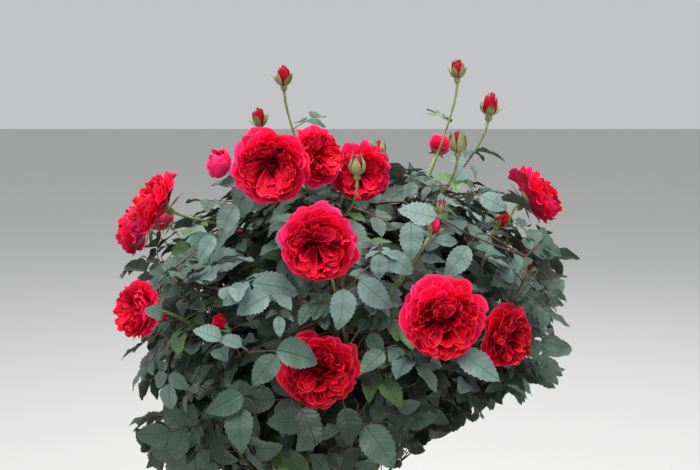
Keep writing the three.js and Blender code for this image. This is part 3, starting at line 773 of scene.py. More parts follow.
def tint_of(at, seed):
    """The spray's plain colour: some young, most of these near the top, deep and blue inside and low, and
    grey, dusky, blue and deep outside, deeper on the left. The deep green inside, low and on the left is
    partly painted shade, and the grey outside above is partly painted light."""
    roll = float(chance(seed, 9, 2))
    out = np.linalg.norm((at - CROWN["core"]) / [*CROWN["reach"][:2], 0.4])
    if at[2] > YOUNG_ABOVE and roll > 0.86:
        return YOUNG
    if out < 0.5:
        return BLUE if roll > 0.7 else DEEP
    if roll > 0.955:
        return YOUNG
    if at[2] < GREY_ABOVE:
        return DUSK if roll > 0.95 else (BLUE if roll > 0.58 else DEEP)
    shady = at[0] < SHADE_LEFT_OF
    grey, deep = 0.66 + 0.16 * shady, 0.24 + 0.22 * shady
    return GREY if roll > grey else (DUSK if roll > grey - 0.08 else (BLUE if roll > deep else DEEP))


def camera_place():
    return FOCUS + DISTANCE * np.array([0, -math.cos(PITCH), math.sin(PITCH)])


def on_crown(px, py):
    """The first place in the crown on the ray through a pixel of the photograph."""
    ahead = np.array([0, math.cos(PITCH), -math.sin(PITCH)])
    up = np.array([0, math.sin(PITCH), math.cos(PITCH)])
    ray = unit(ahead + np.array([1, 0, 0]) * (px - FRAME_WIDE / 2) / FOCAL_PIXELS
               + up * (FRAME_HIGH / 2 - py) / FOCAL_PIXELS)
    reaches = np.linspace(DISTANCE - 0.2, DISTANCE + 0.3, 500)
    places = camera_place() + ray * reaches[:, None]
    inside = np.flatnonzero(in_crown(places))
    return places[inside[0]] if len(inside) else None


def grow_front_leaves(room, shoots, leaf, leaves):
    """Leaves whose end leaflets stand where the photograph has them, on a petiole from the nearest shoot."""
    starts = np.concatenate([s["curve"].at(np.array([0.4, 0.6, 0.8, 1.0])) for s in shoots])
    for i, (base, tip, *own) in enumerate(FRONT_LEAVES):
        foot, end = on_crown(*base), on_crown(*tip)
        if foot is None:
            continue
        if end is None:
            end = foot + np.array([tip[0] - base[0], 0, base[1] - tip[1]]) * PIXEL
        look = unit(camera_place() - foot)
        foot = foot - look * (SET_BACK - (own[0] if own else 0))
        flat = (end - foot) - look * ((end - foot) @ look)
        long = float(np.linalg.norm(flat))
        normal = unit(look + UP * (0.35 + 0.3 * float(chance(i, 1, 5))) + 0.25 * np.array(
            [float(spread(i, 1, 2)), 0, float(spread(i, 3, 2))]))
        along = unit(flat - normal * (flat @ normal))
        scale = min(max(long / leaf.length, 0.45), 1.15)
        reach = leaf.rachis * scale * 0.8
        ahead = unit(along * 0.55 + look * 0.75 + UP * 0.2)
        over = unit(UP + look * 0.5 - ahead * ((UP + look * 0.5) @ ahead))
        at = foot - ahead * reach + over * STALK_DROOP * reach
        found = lay_out_leaf(at, ahead, over, scale * 0.8, 2, leaf, FRONT_SEED + i)
        found["lengths"] *= 1.1
        found["outs"][-1], found["normals"][-1] = along, normal
        found["lengths"][-1] = min(long * 1.04, 0.052)
        free, points = test_leaf(room, found)
        free[-1] = True
        away = starts - at
        cost = np.linalg.norm(away, axis=1) + 3 * np.maximum(0, away @ look + 0.004)
        near = starts[np.argmin(cost)]
        gap = np.linalg.norm(at - near)
        petiole = Bezier(near, near + (at - near) * 0.3 - look * gap * 0.1, at - ahead * gap * 0.3, at)
        tint = GREY if base[1] < PALE_ABOVE or base[0] > PALE_RIGHT else BLUE
        tint = own[1] if len(own) > 1 else tint
        keep_leaf(room, found, free, points, leaves, tint, petiole)


def try_leaf(room, leaf, curve, share, seed, scale, pairs, lift, inside=True):
    """Tries turns round a shoot at the golden angle and gives the leaf with the most room: how good it
    is, the leaf, which leaflets are free, and their test points."""
    tangent, at = curve.heading(share), curve.at(share)
    outward = unit(at - CROWN["core"])
    aside = 0.35 if share > 0.9 else 0.85
    best = None
    for k in range(LEAF_TRIES):
        vary = seed + k * 0.37
        grows = around(tangent, GOLDEN * (seed + k)) * aside + tangent * 0.5 + outward * 0.15
        wander = np.array([spread(vary, 1, 2), spread(vary, 3, 4), spread(vary, 5, 6)]) * 0.62
        normal = unit(wander + UP * lift + outward * 0.8)
        along = unit(grows - normal * (grows @ normal))
        size = scale * (1 if k < 5 else 0.74) * (0.74 + 0.38 * float(chance(vary, 8, 8)))
        many = pairs or (3 if chance(vary, 2, 6) > 0.62 else 2)
        found = lay_out_leaf(at, along, normal, size, many, leaf, vary)
        free, points = test_leaf(room, found, inside)
        score = free.mean() + 0.1 * free[-1]
        if best is None or score > best[0] + 0.01:
            best = (score, found, free, points)
        if score > 1.05:
            break
    return best


def grow_stalk_leaves(room, flowers, leaf, leaves):
    """Leaves up the flower stalks, smaller and simpler towards the flower, which has a bare neck."""
    for i, flower in enumerate(flowers):
        curve = flower["stalk"]
        leafy = 1 - BARE_STALK / curve.length
        count = int(curve.length * leafy / 0.027)
        for j in range(count):
            share = (j + 0.8) / count * leafy
            best = try_leaf(room, leaf, curve, share, STALK_SEED + i * 31 + j * 2.7, 1 - 0.4 * share,
                            2 if j < count - 1 else 1, 1.1, False)
            if best[2].sum() >= ENOUGH_LEAFLETS:
                keep_leaf(room, *best[1:], leaves, (GREY, BLUE, YOUNG, GREY, DUSK)[(i + j) % 5])


def grow_leaves(room, shoots, flowers, leaf):
    """Leaves at the front, up the flower stalks, and up every shoot."""
    leaves = []
    grow_front_leaves(room, shoots, leaf, leaves)
    grow_stalk_leaves(room, flowers, leaf, leaves)
    order = {"stem": 0, "twig": 1, "side": 2, "inner": 3}
    for shoot in sorted(shoots, key=lambda s: order[s["kind"]]):
        curve = shoot["curve"]
        count = max(2, int(round(curve.length / LEAF_GAP)))
        for j in range(count):
            share = (j + 1) / count
            seed = shoot["seed"] + j * 17.3
            best = try_leaf(room, leaf, curve, share, seed, 0.8 if shoot["kind"] == "side" else 1, 0, 0.4)
            if best[2].sum() >= ENOUGH_LEAFLETS:
                keep_leaf(room, *best[1:], leaves, tint_of(curve.at(share), seed))
    return leaves


@functools.lru_cache(maxsize=1)
def bush_plan():
    """Everything that grows, worked out once."""
    leaf = bpy.context.scene.rose.leaf
    masses = place_masses()
    canes = [{"angle": m["angle"], "curve": cane_curve(m), "forks": []} for m in masses
             if m["tier"] == "upper"]
    boughs = [bough_curve(m, canes) for m in masses if m["tier"] != "upper"]
    flowers = place_flowers(masses)
    shoots = grow_shoots(masses, canes, boughs)
    curves = [c["curve"] for c in canes] + boughs + [f["stalk"] for f in flowers]
    room = Room(flowers, curves + [s["curve"] for s in shoots])
    leaves = grow_leaves(room, shoots, flowers, leaf)
    print("leaves", len(leaves), "leaflets", sum(len(f["feet"]) for f in leaves), "shoots", len(shoots))
    return {"canes": [c["curve"] for c in canes], "boughs": boughs, "flowers": flowers, "shoots": shoots,
            "leaves": leaves}


# Node groups and materials
def new_group(name, vector, numbers, outputs):
    """A shader node group with one vector and any numbers going in and numbers coming out: its tree, its
    wires, its input sockets and its output sockets."""
    tree = bpy.data.node_groups.new(name, "ShaderNodeTree")
    tree.interface.new_socket(vector, in_out="INPUT", socket_type="NodeSocketVector")
    for label in numbers:
        tree.interface.new_socket(label, in_out="INPUT", socket_type="NodeSocketFloat")
    for label in outputs:
        tree.interface.new_socket(label, in_out="OUTPUT", socket_type="NodeSocketFloat")
    start, end = tree.nodes.new("NodeGroupInput"), tree.nodes.new("NodeGroupOutput")
    return tree, Wires(tree), start.outputs, end.inputs


class Wires:
    """Adds nodes to a tree and joins them."""

    def __init__(self, tree):
        self.tree = tree

    def plug(self, value, socket):
        if isinstance(value, bpy.types.NodeSocket):
            self.tree.links.new(value, socket)
        else:
            socket.default_value = value

    def node(self, kind, out, **values):
        """A new node's output, with its inputs plugged by name."""
        made = self.tree.nodes.new("ShaderNode" + kind)
        for key, value in values.items():
            self.plug(value, made.inputs[key.replace("_", " ")])
        return made.outputs[out]

    def math(self, operation, a, b=0.0):
        node = self.tree.nodes.new("ShaderNodeMath")
        node.operation = operation
        for value, socket in zip((a, b), node.inputs):
            self.plug(value, socket)
        return node.outputs[0]

    def times(self, a, b):
        return self.math("MULTIPLY", a, b)

    def plus(self, a, b):
        return self.math("ADD", a, b)

    def less(self, a, b):
        return self.math("SUBTRACT", a, b)

    def noise(self, vector, scale, detail=4.0):
        return self.node("TexNoise", "Fac", Vector=vector, Scale=scale, Detail=detail, Roughness=0.55)

    def cells(self, vector, scale):
        return self.node("TexVoronoi", "Distance", Vector=vector, Scale=scale)

    def step(self, value, low, high):
        """0 below low, 1 above high and smooth between."""
        result = self.node("MapRange", "Result", Value=value, From_Min=low, From_Max=high)
        result.node.interpolation_type = "SMOOTHSTEP"
        return result

    def mix(self, factor, a, b):
        node = self.tree.nodes.new("ShaderNodeMix")
        node.data_type = "RGBA"
        self.plug(factor, node.inputs[0])
        for value, socket in ((a, node.inputs[6]), (b, node.inputs[7])):
            self.plug(value if isinstance(value, bpy.types.NodeSocket) else (*value, 1), socket)
        return node.outputs[2]

    def stretch(self, vector, x, y, z):
        return self.node("Mapping", "Vector", Vector=vector, Scale=(x, y, z))

    def apart(self, vector):
        return self.node("SeparateXYZ", "X", Vector=vector).node.outputs

    def coordinate(self, name):
        return self.node("TexCoord", name)

    def group(self, tree, **values):
        node = self.tree.nodes.new("ShaderNodeGroup")
        node.node_tree = tree
        for key, value in values.items():
            self.plug(value, node.inputs[key])
        return node.outputs

    def relief(self, height, strength, distance):
        return self.node("Bump", "Normal", Strength=strength, Distance=distance, Height=height)


@functools.lru_cache(maxsize=1)
def mottle_group():
    """Mottling: broad and fine noise on the given coordinates, as a mask and a height."""
    tree, w, start, end = new_group("mottle", "Vector", ["Scale"], ["Mask", "Height"])
    broad = w.noise(start["Vector"], start["Scale"])
    fine = w.noise(start["Vector"], w.times(start["Scale"], 6.0), 3.0)
    w.plug(w.step(broad, 0.36, 0.66), end["Mask"])
    w.plug(w.plus(broad, w.times(fine, 0.35)), end["Height"])
    return tree


@functools.lru_cache(maxsize=1)
def leaf_vein_group():
    """Leaf veins from the blade's UV: a midrib at half V, side veins where six and a half times U less six
    times the distance from the midrib is a whole number, a blade that swells between them, and a mask that
    rises from the midrib to the margin."""
    tree, w, start, end = new_group("leaf_veins", "UV", [], ["Vein", "Margin", "Height"])
    uv = w.apart(start["UV"])
    off = w.math("ABSOLUTE", w.less(uv["Y"], 0.5))
    phase = w.less(w.times(uv["X"], 6.5), w.times(off, 6.0))
    saw = w.math("ABSOLUTE", w.less(w.math("FRACT", phase), 0.5))
    side = w.step(saw, 0.38, 0.5)
    midrib = w.less(1.0, w.step(off, 0.006, 0.026))
    vein = w.math("MAXIMUM", midrib, w.times(side, 0.55))
    crumple = w.noise(start["UV"], 9.0, 3.0)
    swell = w.less(w.times(crumple, 0.6), vein)
    w.plug(vein, end["Vein"])
    w.plug(w.step(off, 0.02, 0.48), end["Margin"])
    w.plug(swell, end["Height"])
    return tree


@functools.lru_cache(maxsize=1)
def petal_group():
    """Petals: fine lines along U, soft creases, a mask that rises from the claw to the lip, for the painted
    shade towards the claw, and one that rises at the very edge, for the painted highlight on the lip."""
    tree, w, start, end = new_group("petal_skin", "UV", [], ["Lip", "Edge", "Height"])
    uv = w.apart(start["UV"])
    lines = w.noise(w.stretch(start["UV"], 2.0, 26.0, 1.0), 1.0, 3.0)
    creases = w.noise(w.stretch(start["UV"], 3.0, 5.0, 1.0), 1.0, 2.0)
    w.plug(w.step(uv["X"], 0.1, 0.8), end["Lip"])
    w.plug(w.step(uv["X"], 0.9, 1.0), end["Edge"])
    w.plug(w.plus(w.times(lines, 0.5), creases), end["Height"])
    return tree


def new_material(name):
    """A material, its Principled shader and its wires."""
    material = bpy.data.materials.new(name)
    material.use_nodes = True
    return material, material.node_tree.nodes["Principled BSDF"], Wires(material.node_tree)


def dress(shader, w, base, rough, normal):
    """Gives a shader its colour, roughness and normal."""
    for key, value in (("Base Color", base), ("Roughness", rough), ("Normal", normal)):
        w.plug(value, shader.inputs[key])


def scaled(rgb, k):
    """A colour made darker or lighter."""
    return tuple(min(1, c * k) for c in rgb[:3])


def leaf_material(name, rgb, rough):
    """A matt quilted leaf: deeper veins, a paler dusty margin, and a pale dull underside with paler veins."""
    material, shader, w = new_material(name)
    veins = w.group(leaf_vein_group(), UV=w.coordinate("UV"))
    mottle = w.group(mottle_group(), Vector=w.coordinate("Object"), Scale=45.0)
    r, g, b = rgb[:3]
    top = w.mix(veins["Margin"], (r * 0.84, g * 0.96, b * 0.84), (r * 1.26, g * 1.12, b * 1.2))
    top = w.mix(w.times(veins["Vein"], 0.5), top, (r * 0.46, g * 0.66, b * 0.46))
    top = w.mix(w.times(mottle["Mask"], 0.35), top, scaled(rgb, 0.72))
    back = w.node("NewGeometry", "Backfacing")
    under = (r * 1.1 + 0.07, g * 0.8 + 0.083, b * 0.9 + 0.066)
    under = w.mix(w.times(veins["Vein"], 0.5), under, scaled(under, 1.3))
    dress(shader, w, w.mix(back, top, under), w.plus(rough, w.times(mottle["Mask"], 0.12)),
          w.relief(veins["Height"], 0.5, 0.001))
    shader.inputs["Specular IOR Level"].default_value = 0.42
    return material


def petal_material(name, rgb, dark):
    """A velvety petal, darker towards its claw as painted shade deep in the bloom, and pinker at its edge as
    a painted highlight where light shines through the thin lip.
    """
    material, shader, w = new_material(name)
    skin = w.group(petal_group(), UV=w.coordinate("UV"))
    # Painted shade: the colour darkens towards the claw by the given factor
    body = w.mix(skin["Lip"], scaled(rgb, dark), scaled(rgb, 1))
    # Painted highlight: a lighter, pinker colour at the very edge of the lip
    edge = (min(1, rgb[0] * 1.3), rgb[1] * 2 + 0.05, rgb[2] * 1.6 + 0.085)
    dress(shader, w, w.mix(w.times(skin["Edge"], 0.7), body, edge),
          w.less(0.62, w.times(skin["Height"], 0.12)), w.relief(skin["Height"], 0.5, 0.0009))
    shader.inputs["Sheen Weight"].default_value = 0.1
    shader.inputs["Sheen Roughness"].default_value = 0.4
    shader.inputs["Sheen Tint"].default_value = (1, 0.12, 0.3, 1)
    shader.inputs["Specular IOR Level"].default_value = 0.12
    return material


@functools.lru_cache(maxsize=1)
def petal_materials():
    """The five petal colours of a bloom, from the heart out, each with how dark its claw is painted as shade,
    and that of a closed bud.
    """
    bloom = bpy.context.scene.rose.bloom
    return [petal_material(name, tuple(rgb), dark) for name, rgb, dark in (
        ("petal_heart", bloom.heart, 0.55), ("petal_inner", bloom.inner, 0.62),
        ("petal_middle", bloom.middle, 0.68), ("petal_outer", bloom.outer, 0.74),
        ("petal_blush", bloom.blush, 0.68), ("petal_closed", bloom.closed, 0.6))]


def bark_material(name, rgb, rub, scale=140.0, deep=0.0016):
    """Bark: noise stretched along the limb, with worn paler places."""
    material, shader, w = new_material(name)
    fibres = w.group(mottle_group(), Vector=w.stretch(w.coordinate("Object"), 1, 1, 0.28), Scale=scale)
    lichen = w.group(mottle_group(), Vector=w.coordinate("Object"), Scale=38.0)
    base = w.mix(fibres["Mask"], scaled(rgb, 0.62), scaled(rgb, 1.25))
    dress(shader, w, w.mix(w.times(lichen["Mask"], 0.5), base, rub),
          w.plus(0.55, w.times(fibres["Mask"], 0.25)), w.relief(fibres["Height"], 0.7, deep))
    return material


# Operators
class RoseOperator:
    """What the operators share."""
    bl_options = {"REGISTER", "UNDO"}


class ROSE_OT_pot(RoseOperator, bpy.types.Operator):
    """Throws the terracotta pot: a turned profile with a deep band, a rolled rim and throwing rings"""
    bl_idname = "rose.pot"
    bl_label = "Terracotta pot"

    def execute(self, context):
        pot = context.scene.rose.pot
        foot, band_foot, rim, bead = POT["foot"], POT["band_foot"], POT["rim"], POT["bead"]
        band_at, bead_at, floor = POT["height"] - POT["band"], POT["height"] - bead, POT["floor"]
        inside = [foot - POT["wall"], rim - POT["wall"] - bead]

        def wall(heights, between, reaches):
            return [(float(np.interp(z, between, reaches)), z) for z in heights]

        curl = np.linspace(-math.pi / 4, math.pi * 0.75, 14)
        outer = [(0, 0), (0.03, 0), (0.07, 0), (0.1, 0), (foot - 0.003, 0.0004), (foot - 0.0008, 0.0016),
                 (foot, 0.004)]
        outer += wall(np.linspace(0.01, band_at - 0.003, 46), [0.004, band_at], [foot, band_foot])
        outer += [(band_foot + 0.0006, band_at - 0.0006), (rim - 0.0112, band_at + 0.001),
                  (rim - 0.009, band_at + 0.003), (rim - 0.0068, band_at + 0.0068)]
        outer += wall(np.linspace(band_at + 0.01, bead_at - bead, 10), [band_at + 0.009, bead_at - bead],
                      [rim - 0.006, rim - 0.004])
        outer += [(rim - bead + bead * math.cos(a), bead_at + bead * math.sin(a)) for a in curl]
        hollow = wall(np.linspace(POT["height"] - 0.008, floor + 0.004, 26), [floor, POT["height"]], inside)
        hollow += [(inside[0] - 0.004, floor), (0.05, floor), (0, floor)]
        profile = np.array(outer + hollow)
        turn = full_turn(POT_SIDES)[None]
        z = profile[1:-1, 1][:, None]
        ringed = (np.arange(1, len(profile) - 1) < len(outer) + 3)[:, None] & (z > 0.006)
        rings = np.sin(z * 900 + 1.3 * np.sin(turn * 2)) * 0.6 + 0.4 * np.sin(z * 2300 + turn)
        wobble = 0.0006 * np.sin(turn * 2 + z * 5) + 0.0003 * np.sin(turn * 5 - z * 30)
        relief = np.where(ringed, rings * pot.ring_depth + wobble, wobble * 0.5) * (z > 0.0005)
        skin = Skin()
        add_turned(skin, np.zeros(3), UP, profile, POT_SIDES, relief)
        material, shader, w = new_material("fired_clay")
        where = w.coordinate("Object")
        broad = w.group(mottle_group(), Vector=where, Scale=9.0)
        bands = w.group(mottle_group(), Vector=w.stretch(where, 1, 1, 9), Scale=11.0)
        grain = w.group(mottle_group(), Vector=where, Scale=480.0)
        clay = w.mix(bands["Mask"], scaled(pot.clay, 0.86), scaled(pot.clay, 1.1))
        specks = w.step(w.cells(where, 260.0), 0.1, 0.22)
        clay = w.mix(w.times(w.less(1.0, specks), 0.35), clay, scaled(pot.clay, 0.5))
        salts = w.times(broad["Mask"], w.times(grain["Height"], 0.5))
        dress(shader, w, w.mix(salts, clay, tuple(pot.salts)), w.plus(0.72, w.times(grain["Mask"], 0.16)),
              w.relief(w.plus(grain["Height"], w.times(specks, 0.4)), 0.6, 0.0009))
        skin.piece("clay_pot", [material], "terracotta", "pot")
        return {"FINISHED"}


class ROSE_OT_soil(RoseOperator, bpy.types.Operator):
    """Fills the pot with crumbly soil: a disc raised by sums of sines, strewn with small lumps"""
    bl_idname = "rose.soil"
    bl_label = "Soil"

    def execute(self, context):
        pot = context.scene.rose.pot
        wall = POT["rim"] - POT["wall"] - POT["bead"] - SOIL_GAP
        radii = np.concatenate([np.linspace(0.004, wall, 40), [wall + 0.0012, wall - 0.004]])
        turn, r = full_turn(SOIL_SIDES)[None], radii[:, None]
        x, y = r * np.cos(turn), r * np.sin(turn)
        rough = np.zeros_like(x)
        for k in range(1, 9):
            f = 42 * 1.55 ** k
            a, b = WHOLE_TURN * float(chance(k, 1, 1)), WHOLE_TURN * float(chance(k, 2, 1))
            rough += np.sin(f * (x * math.cos(a) + y * math.sin(a)) + b) * 0.0021 / 1.45 ** k
        z = SOIL_TOP - 0.001 + rough + 0.005 * np.exp(-(r / 0.05) ** 2)
        z[-2], z[-1] = SOIL_TOP - 0.006, SOIL_TOP - 0.04
        body = np.stack([x, y, z], axis=-1).reshape(-1, 3)
        points = np.concatenate([body, [[0, 0, z[0].mean()], [0, 0, SOIL_TOP - 0.04]]])
        skin = Skin()
        skin.add(points, *capped(len(radii), SOIL_SIDES))
        for i in range(CRUMBS):
            a, s = FINER_TURN * float(chance(i, 5, 1)), math.sqrt(float(chance(i, 6, 1)))
            size = 0.0014 + 0.0036 * float(chance(i, 7, 1)) ** 2
            spot = np.array([s * (wall - 0.006) * math.cos(a), s * (wall - 0.006) * math.sin(a),
                             SOIL_TOP + 0.0012 + 0.004 * math.exp(-(s * wall / 0.05) ** 2)])
            axis = unit(np.array([float(spread(i, 8, 1)), float(spread(i, 9, 1)), 0.7]))
            ring = 1 + 0.35 * spread(np.arange(12).reshape(2, 6) + i * 1.7, 3, 3)
            lump = [(0, -size), (size * 0.95, -size * 0.35), (size * 0.8, size * 0.45), (0, size * 0.85)]
            add_turned(skin, spot, axis, lump, 6, (ring - 1) * size, 1 if i % 6 == 0 else 0)
        materials = []
        for name, rgb in (("potting_soil", tuple(pot.soil)), ("bark_crumbs", (0.11, 0.062, 0.032))):
            material, shader, w = new_material(name)
            crumbs = w.group(mottle_group(), Vector=w.coordinate("Object"), Scale=150.0)
            dress(shader, w, w.mix(crumbs["Mask"], scaled(rgb, 0.55), scaled(rgb, 1.7)),
                  w.plus(0.8, w.times(crumbs["Mask"], 0.15)), w.relief(crumbs["Height"], 0.9, 0.002))
            materials.append(material)
        skin.piece("soil_crumbs", materials, "soil", "soil")
        return {"FINISHED"}


def bark_relief(length, rows, sides, seed, depth):
    """A limb's relief: ridges round it that wander along it, swellings at its nodes, fine noise."""
    u, turn = np.linspace(0, length, rows)[:, None], full_turn(sides)[None]
    ridges = np.sin(turn * 5 + 9 * u / max(length, 0.01) + seed) * 0.5
    ridges = ridges + np.sin(turn * 3 - 60 * u + seed) * 0.5
    nodes = np.exp(-(((u / 0.034 + 0.3 * seed) % 1 - 0.5) / 0.09) ** 2)
    fine = spread(np.arange(rows)[:, None] * 13.1 + np.arange(sides)[None] * 3.7 + seed, 2, 5)
    return 1 + depth * (0.45 * ridges + 0.35 * fine) + 0.16 * nodes


class ROSE_OT_limbs(RoseOperator, bpy.types.Operator):
    """Grows the rootstock, the canes and the boughs as tubes with bark relief along their curves"""
    bl_idname = "rose.limbs"
    bl_label = "Rootstock, canes and boughs"

    def execute(self, context):
        plan, leaf = bush_plan(), context.scene.rose.leaf
        stock = Skin()
        r, h = np.array(STOCK_PROFILE).T
        rows, sides, blur = 52, 48, 9
        heights = np.linspace(-0.004, STOCK_HEIGHT, rows)
        girth = np.pad(np.interp(heights, h, r), blur // 2, mode="edge")
        girth = np.convolve(girth, np.ones(blur) / blur, mode="valid")
        turn, z = full_turn(sides)[None], heights[:, None]
        relief = 0.0016 * np.sin(turn * 6 + 2.5 * np.sin(z * 110)) + 0.0011 * np.sin(turn * 13 - z * 160)
        relief += 0.0026 * bump(np.sin(turn * 3 + z * 70 + 1), 0.2, 1) * bump(z, 0.02, 0.045)
        relief += 0.0006 * spread(np.arange(rows)[:, None] * 7.3 + np.arange(sides)[None] * 1.9, 4, 4)
        axis = np.array([math.sin(STOCK_LEAN), 0, math.cos(STOCK_LEAN)])
        profile = np.concatenate([[(0, heights[0])], np.stack([girth, heights], axis=1),
                                  [(0, heights[-1] + 0.002)]])
        add_turned(stock, UP * STOCK_FOOT, axis, profile, sides, relief)
        wood = bark_material("old_bark", tuple(leaf.wood), (0.16, 0.15, 0.11), 110.0, 0.003)
        green = bark_material("cane_bark", tuple(leaf.cane), (0.13, 0.075, 0.04))
        stock.piece("rootstock_bark", [wood], "bark", "rootstock")
        kinds = (("cane", plan["canes"], CANE, 16, 0.09), ("bough", plan["boughs"], BOUGH, 12, 0.08))
        for name, curves, (foot, tip), sides, depth in kinds:
            skin = Skin()
            for i, curve in enumerate(curves):
                rows = max(12, int(curve.length / 0.003))
                share = np.linspace(0, 1, rows)
                radii = foot + (tip - foot) * share + 0.002 * np.exp(-(share * curve.length / 0.012) ** 2)
                add_tube(skin, curve.at(share), radii, sides, 0,
                         bark_relief(curve.length, rows, sides, i * 1.7, depth))
            skin.piece(f"{name}_bark", [green], "cane", *sorted(nodes_of(name + "_")))
        return {"FINISHED"}


class ROSE_OT_shoots(RoseOperator, bpy.types.Operator):
    """Grows stems, twigs, leaf stalks, flower stalks and prickles"""
    bl_idname = "rose.shoots"
    bl_label = "Stems, stalks and prickles"

    def execute(self, context):
        plan, leaf = bush_plan(), context.scene.rose.leaf
        twigs, stalks, prickles = Skin(), Skin(), Skin()
        for i, shoot in enumerate(plan["shoots"]):
            curve, (foot, tip) = shoot["curve"], shoot["radii"]
            rows, sides = (9, 8) if shoot["kind"] == "stem" else (5, 5)
            share = np.linspace(0, 1, rows)
            add_tube(twigs, curve.at(share), foot + (tip - foot) * share, sides, 0 if i % 3 else 1)
        for found in plan["leaves"]:
            share = np.linspace(0, found["places"].max(), 5)
            slot = 1 if found["tint"] == YOUNG else 0
            add_tube(stalks, found["stem"].at(share), 0.00085 - 0.0004 * share, 3, slot)
            if found["petiole"] is not None:
                add_tube(stalks, found["petiole"].at(np.linspace(0, 1, 5)), 0.001 - 0.0001 * share, 4)
        for flower in plan["flowers"]:
            share = np.linspace(0, 1, 18)
            r = STALK[flower["kind"]]
            add_tube(twigs, flower["stalk"].at(share), r * (1.15 - 0.25 * share + 0.5 * share ** 8), 8, 2)
        limbs = [(c, CANE, PRICKLES["cane"]) for c in plan["canes"]]
        limbs += [(b, BOUGH, PRICKLES["bough"]) for b in plan["boughs"]]
        limbs += [(s["curve"], STEM, PRICKLES["stem"]) for s in plan["shoots"] if s["kind"] == "stem"]
        for i, (curve, (foot, tip), count) in enumerate(limbs):
            for j in range(count):
                share = 0.08 + 0.9 * (j + float(chance(i, j, 11))) / count
                tangent = curve.heading(share)
                out = around(tangent, GOLDEN * j + i)
                r = foot + (tip - foot) * share
                long = 0.0035 + 0.003 * float(chance(i, j, 12)) if r > 0.003 else 0.0028
                start = curve.at(share) + out * r * 0.7
                path = np.stack([start, start + out * long * 0.55,
                                 start + out * long - tangent * long * 0.45])
                add_tube(prickles, path, [long * 0.32, long * 0.16, long * 0.03], 5)
        red = bark_material("young_bark", tuple(leaf.shoot), (0.10, 0.12, 0.05), 260.0, 0.0006)
        green = bark_material("green_bark", tuple(leaf.cane), (0.12, 0.08, 0.04), 260.0, 0.0006)
        fresh = bark_material("flower_stalk", tuple(leaf.stalk), (0.30, 0.22, 0.11), 300.0, 0.0005)
        thorn = bark_material("prickle", (0.17, 0.055, 0.035), (0.24, 0.14, 0.08), 300.0, 0.0004)
        leaves = nodes_of("leaves_")
        twigs.piece("stems_and_twigs", [red, green, fresh], "cane", *leaves)
        stalks.piece("leaf_stalks", [red, fresh], "foliage", *leaves)
        prickles.piece("prickles", [thorn], "cane", *leaves)
        return {"FINISHED"}


class ROSE_OT_leaves(RoseOperator, bpy.types.Operator):
    """Unfolds every leaflet of the compound leaves, in pieces by tier, each spray in its own green"""
    bl_idname = "rose.leaves"
    bl_label = "Leaves"

    def execute(self, context):
        plan, leaf = bush_plan(), context.scene.rose.leaf
        u, v = leaf_grid(leaf.teeth)
        uv = np.stack([u, 0.5 + 0.5 * v * outline(u) * 0.45], axis=-1)
        faces = leaf_faces()
        materials = [leaf_material(name, tuple(rgb), rough) for name, rgb, rough in (
            ("leaf_deep", leaf.deep, 0.42), ("leaf_blue", leaf.blue, 0.44), ("leaf_grey", leaf.grey, 0.5),
            ("leaf_young", leaf.young, 0.42), ("leaf_dusk", leaf.dusk, 0.5))]
        skins = {"low": Skin(), "middle_front": Skin(), "middle_back": Skin(), "upper": Skin()}
        tiers = {t[0]: t[5] for t in TIERS}
        for found in plan["leaves"]:
            points = blade(*(found[k] for k in LEAFLET), u, v)
            _, y, z = found["feet"].mean(axis=0)
            tier = min(tiers, key=lambda t: abs(tiers[t] - z))
            if tier == "middle":
                tier += "_front" if y < 0 else "_back"
            skins[tier].add(points, uv, faces, found["tint"])
        for tier, skin in skins.items():
            skin.piece(f"leaf_blades_{tier}", materials, "foliage", *nodes_of("leaves_" + tier.split("_")[0]))
        return {"FINISHED"}


def flower_frame(face):
    """Right and up as seen by someone who looks at a flower's face."""
    right = np.cross(UP, face)
    right = np.array([1.0, 0, 0]) if right @ right < 1e-6 else unit(right)
    return right, np.cross(face, right)


def to_flower(flower, rho, theta, z, heart=None):
    """Points from their reach, angle and height on a flower's axis, in shares of its radius. In a bloom with
    a heart, the middle is drawn together above and stretched below, and the heart stands off the axis; both
    die away towards the rim with the square of the reach."""
    right, up = flower_frame(flower["face"])
    across, along = heart or (0, 0)
    fade = np.maximum(0, 1 - rho ** 2)
    rho = rho * (1 - (0.3 * np.sin(theta) * fade if heart else 0))
    x, y = rho * np.cos(theta) + across * fade, rho * np.sin(theta) + along * fade
    offset = x[..., None] * right + y[..., None] * up + z[..., None] * flower["face"]
    return flower["at"] + flower["across"] / 2 * offset


def heart_of(index):
    """How far the heart of a bloom stands off its axis."""
    turn = WHOLE_TURN * float(chance(index, 101, 9))
    return 0.08 * math.cos(turn), 0.04 + 0.11 * math.sin(turn)


# Rows and columns of points on each kind of petal, and how many small petals and sepals there are
CUP_GRID, FOLD_GRID, RUFFLE_GRID, HEART_GRID, SEPAL_GRID = (6, 12), (5, 15), (5, 8), (5, 7), (9, 5)
HEART_PETALS, SEPALS = 14, 5
# Rings of cupped petals: reach, height of the lip, how far the lip rolls back, half angle, share of petals
OPEN_RINGS = [(1.02, -0.02, 0.14, 0.70, 0.85), (0.96, 0.07, 0.10, 0.66, 0.85), (0.91, 0.14, 0.06, 0.62, 0.85),
              (0.85, 0.20, 0.04, 0.58, 0.9), (0.79, 0.26, 0.02, 0.54, 0.9), (0.73, 0.31, 0.0, 0.50, 0.9),
              (0.66, 0.35, -0.02, 0.46, 1.0)]
HALF_RINGS = [(0.92, 0.62, 0.16, 0.95, 0.55), (0.80, 0.80, 0.04, 0.9, 0.55), (0.62, 0.84, -0.04, 0.9, 0.55),
              (0.46, 0.82, -0.06, 0.95, 0.45), (0.30, 0.78, -0.06, 1.1, 0.4)]
BUD_RINGS = [(1.12, 0.92, -0.42, 1.2, 0.4), (0.9, 1.1, -0.5, 1.25, 0.4), (0.62, 1.2, -0.55, 1.35, 0.4)]
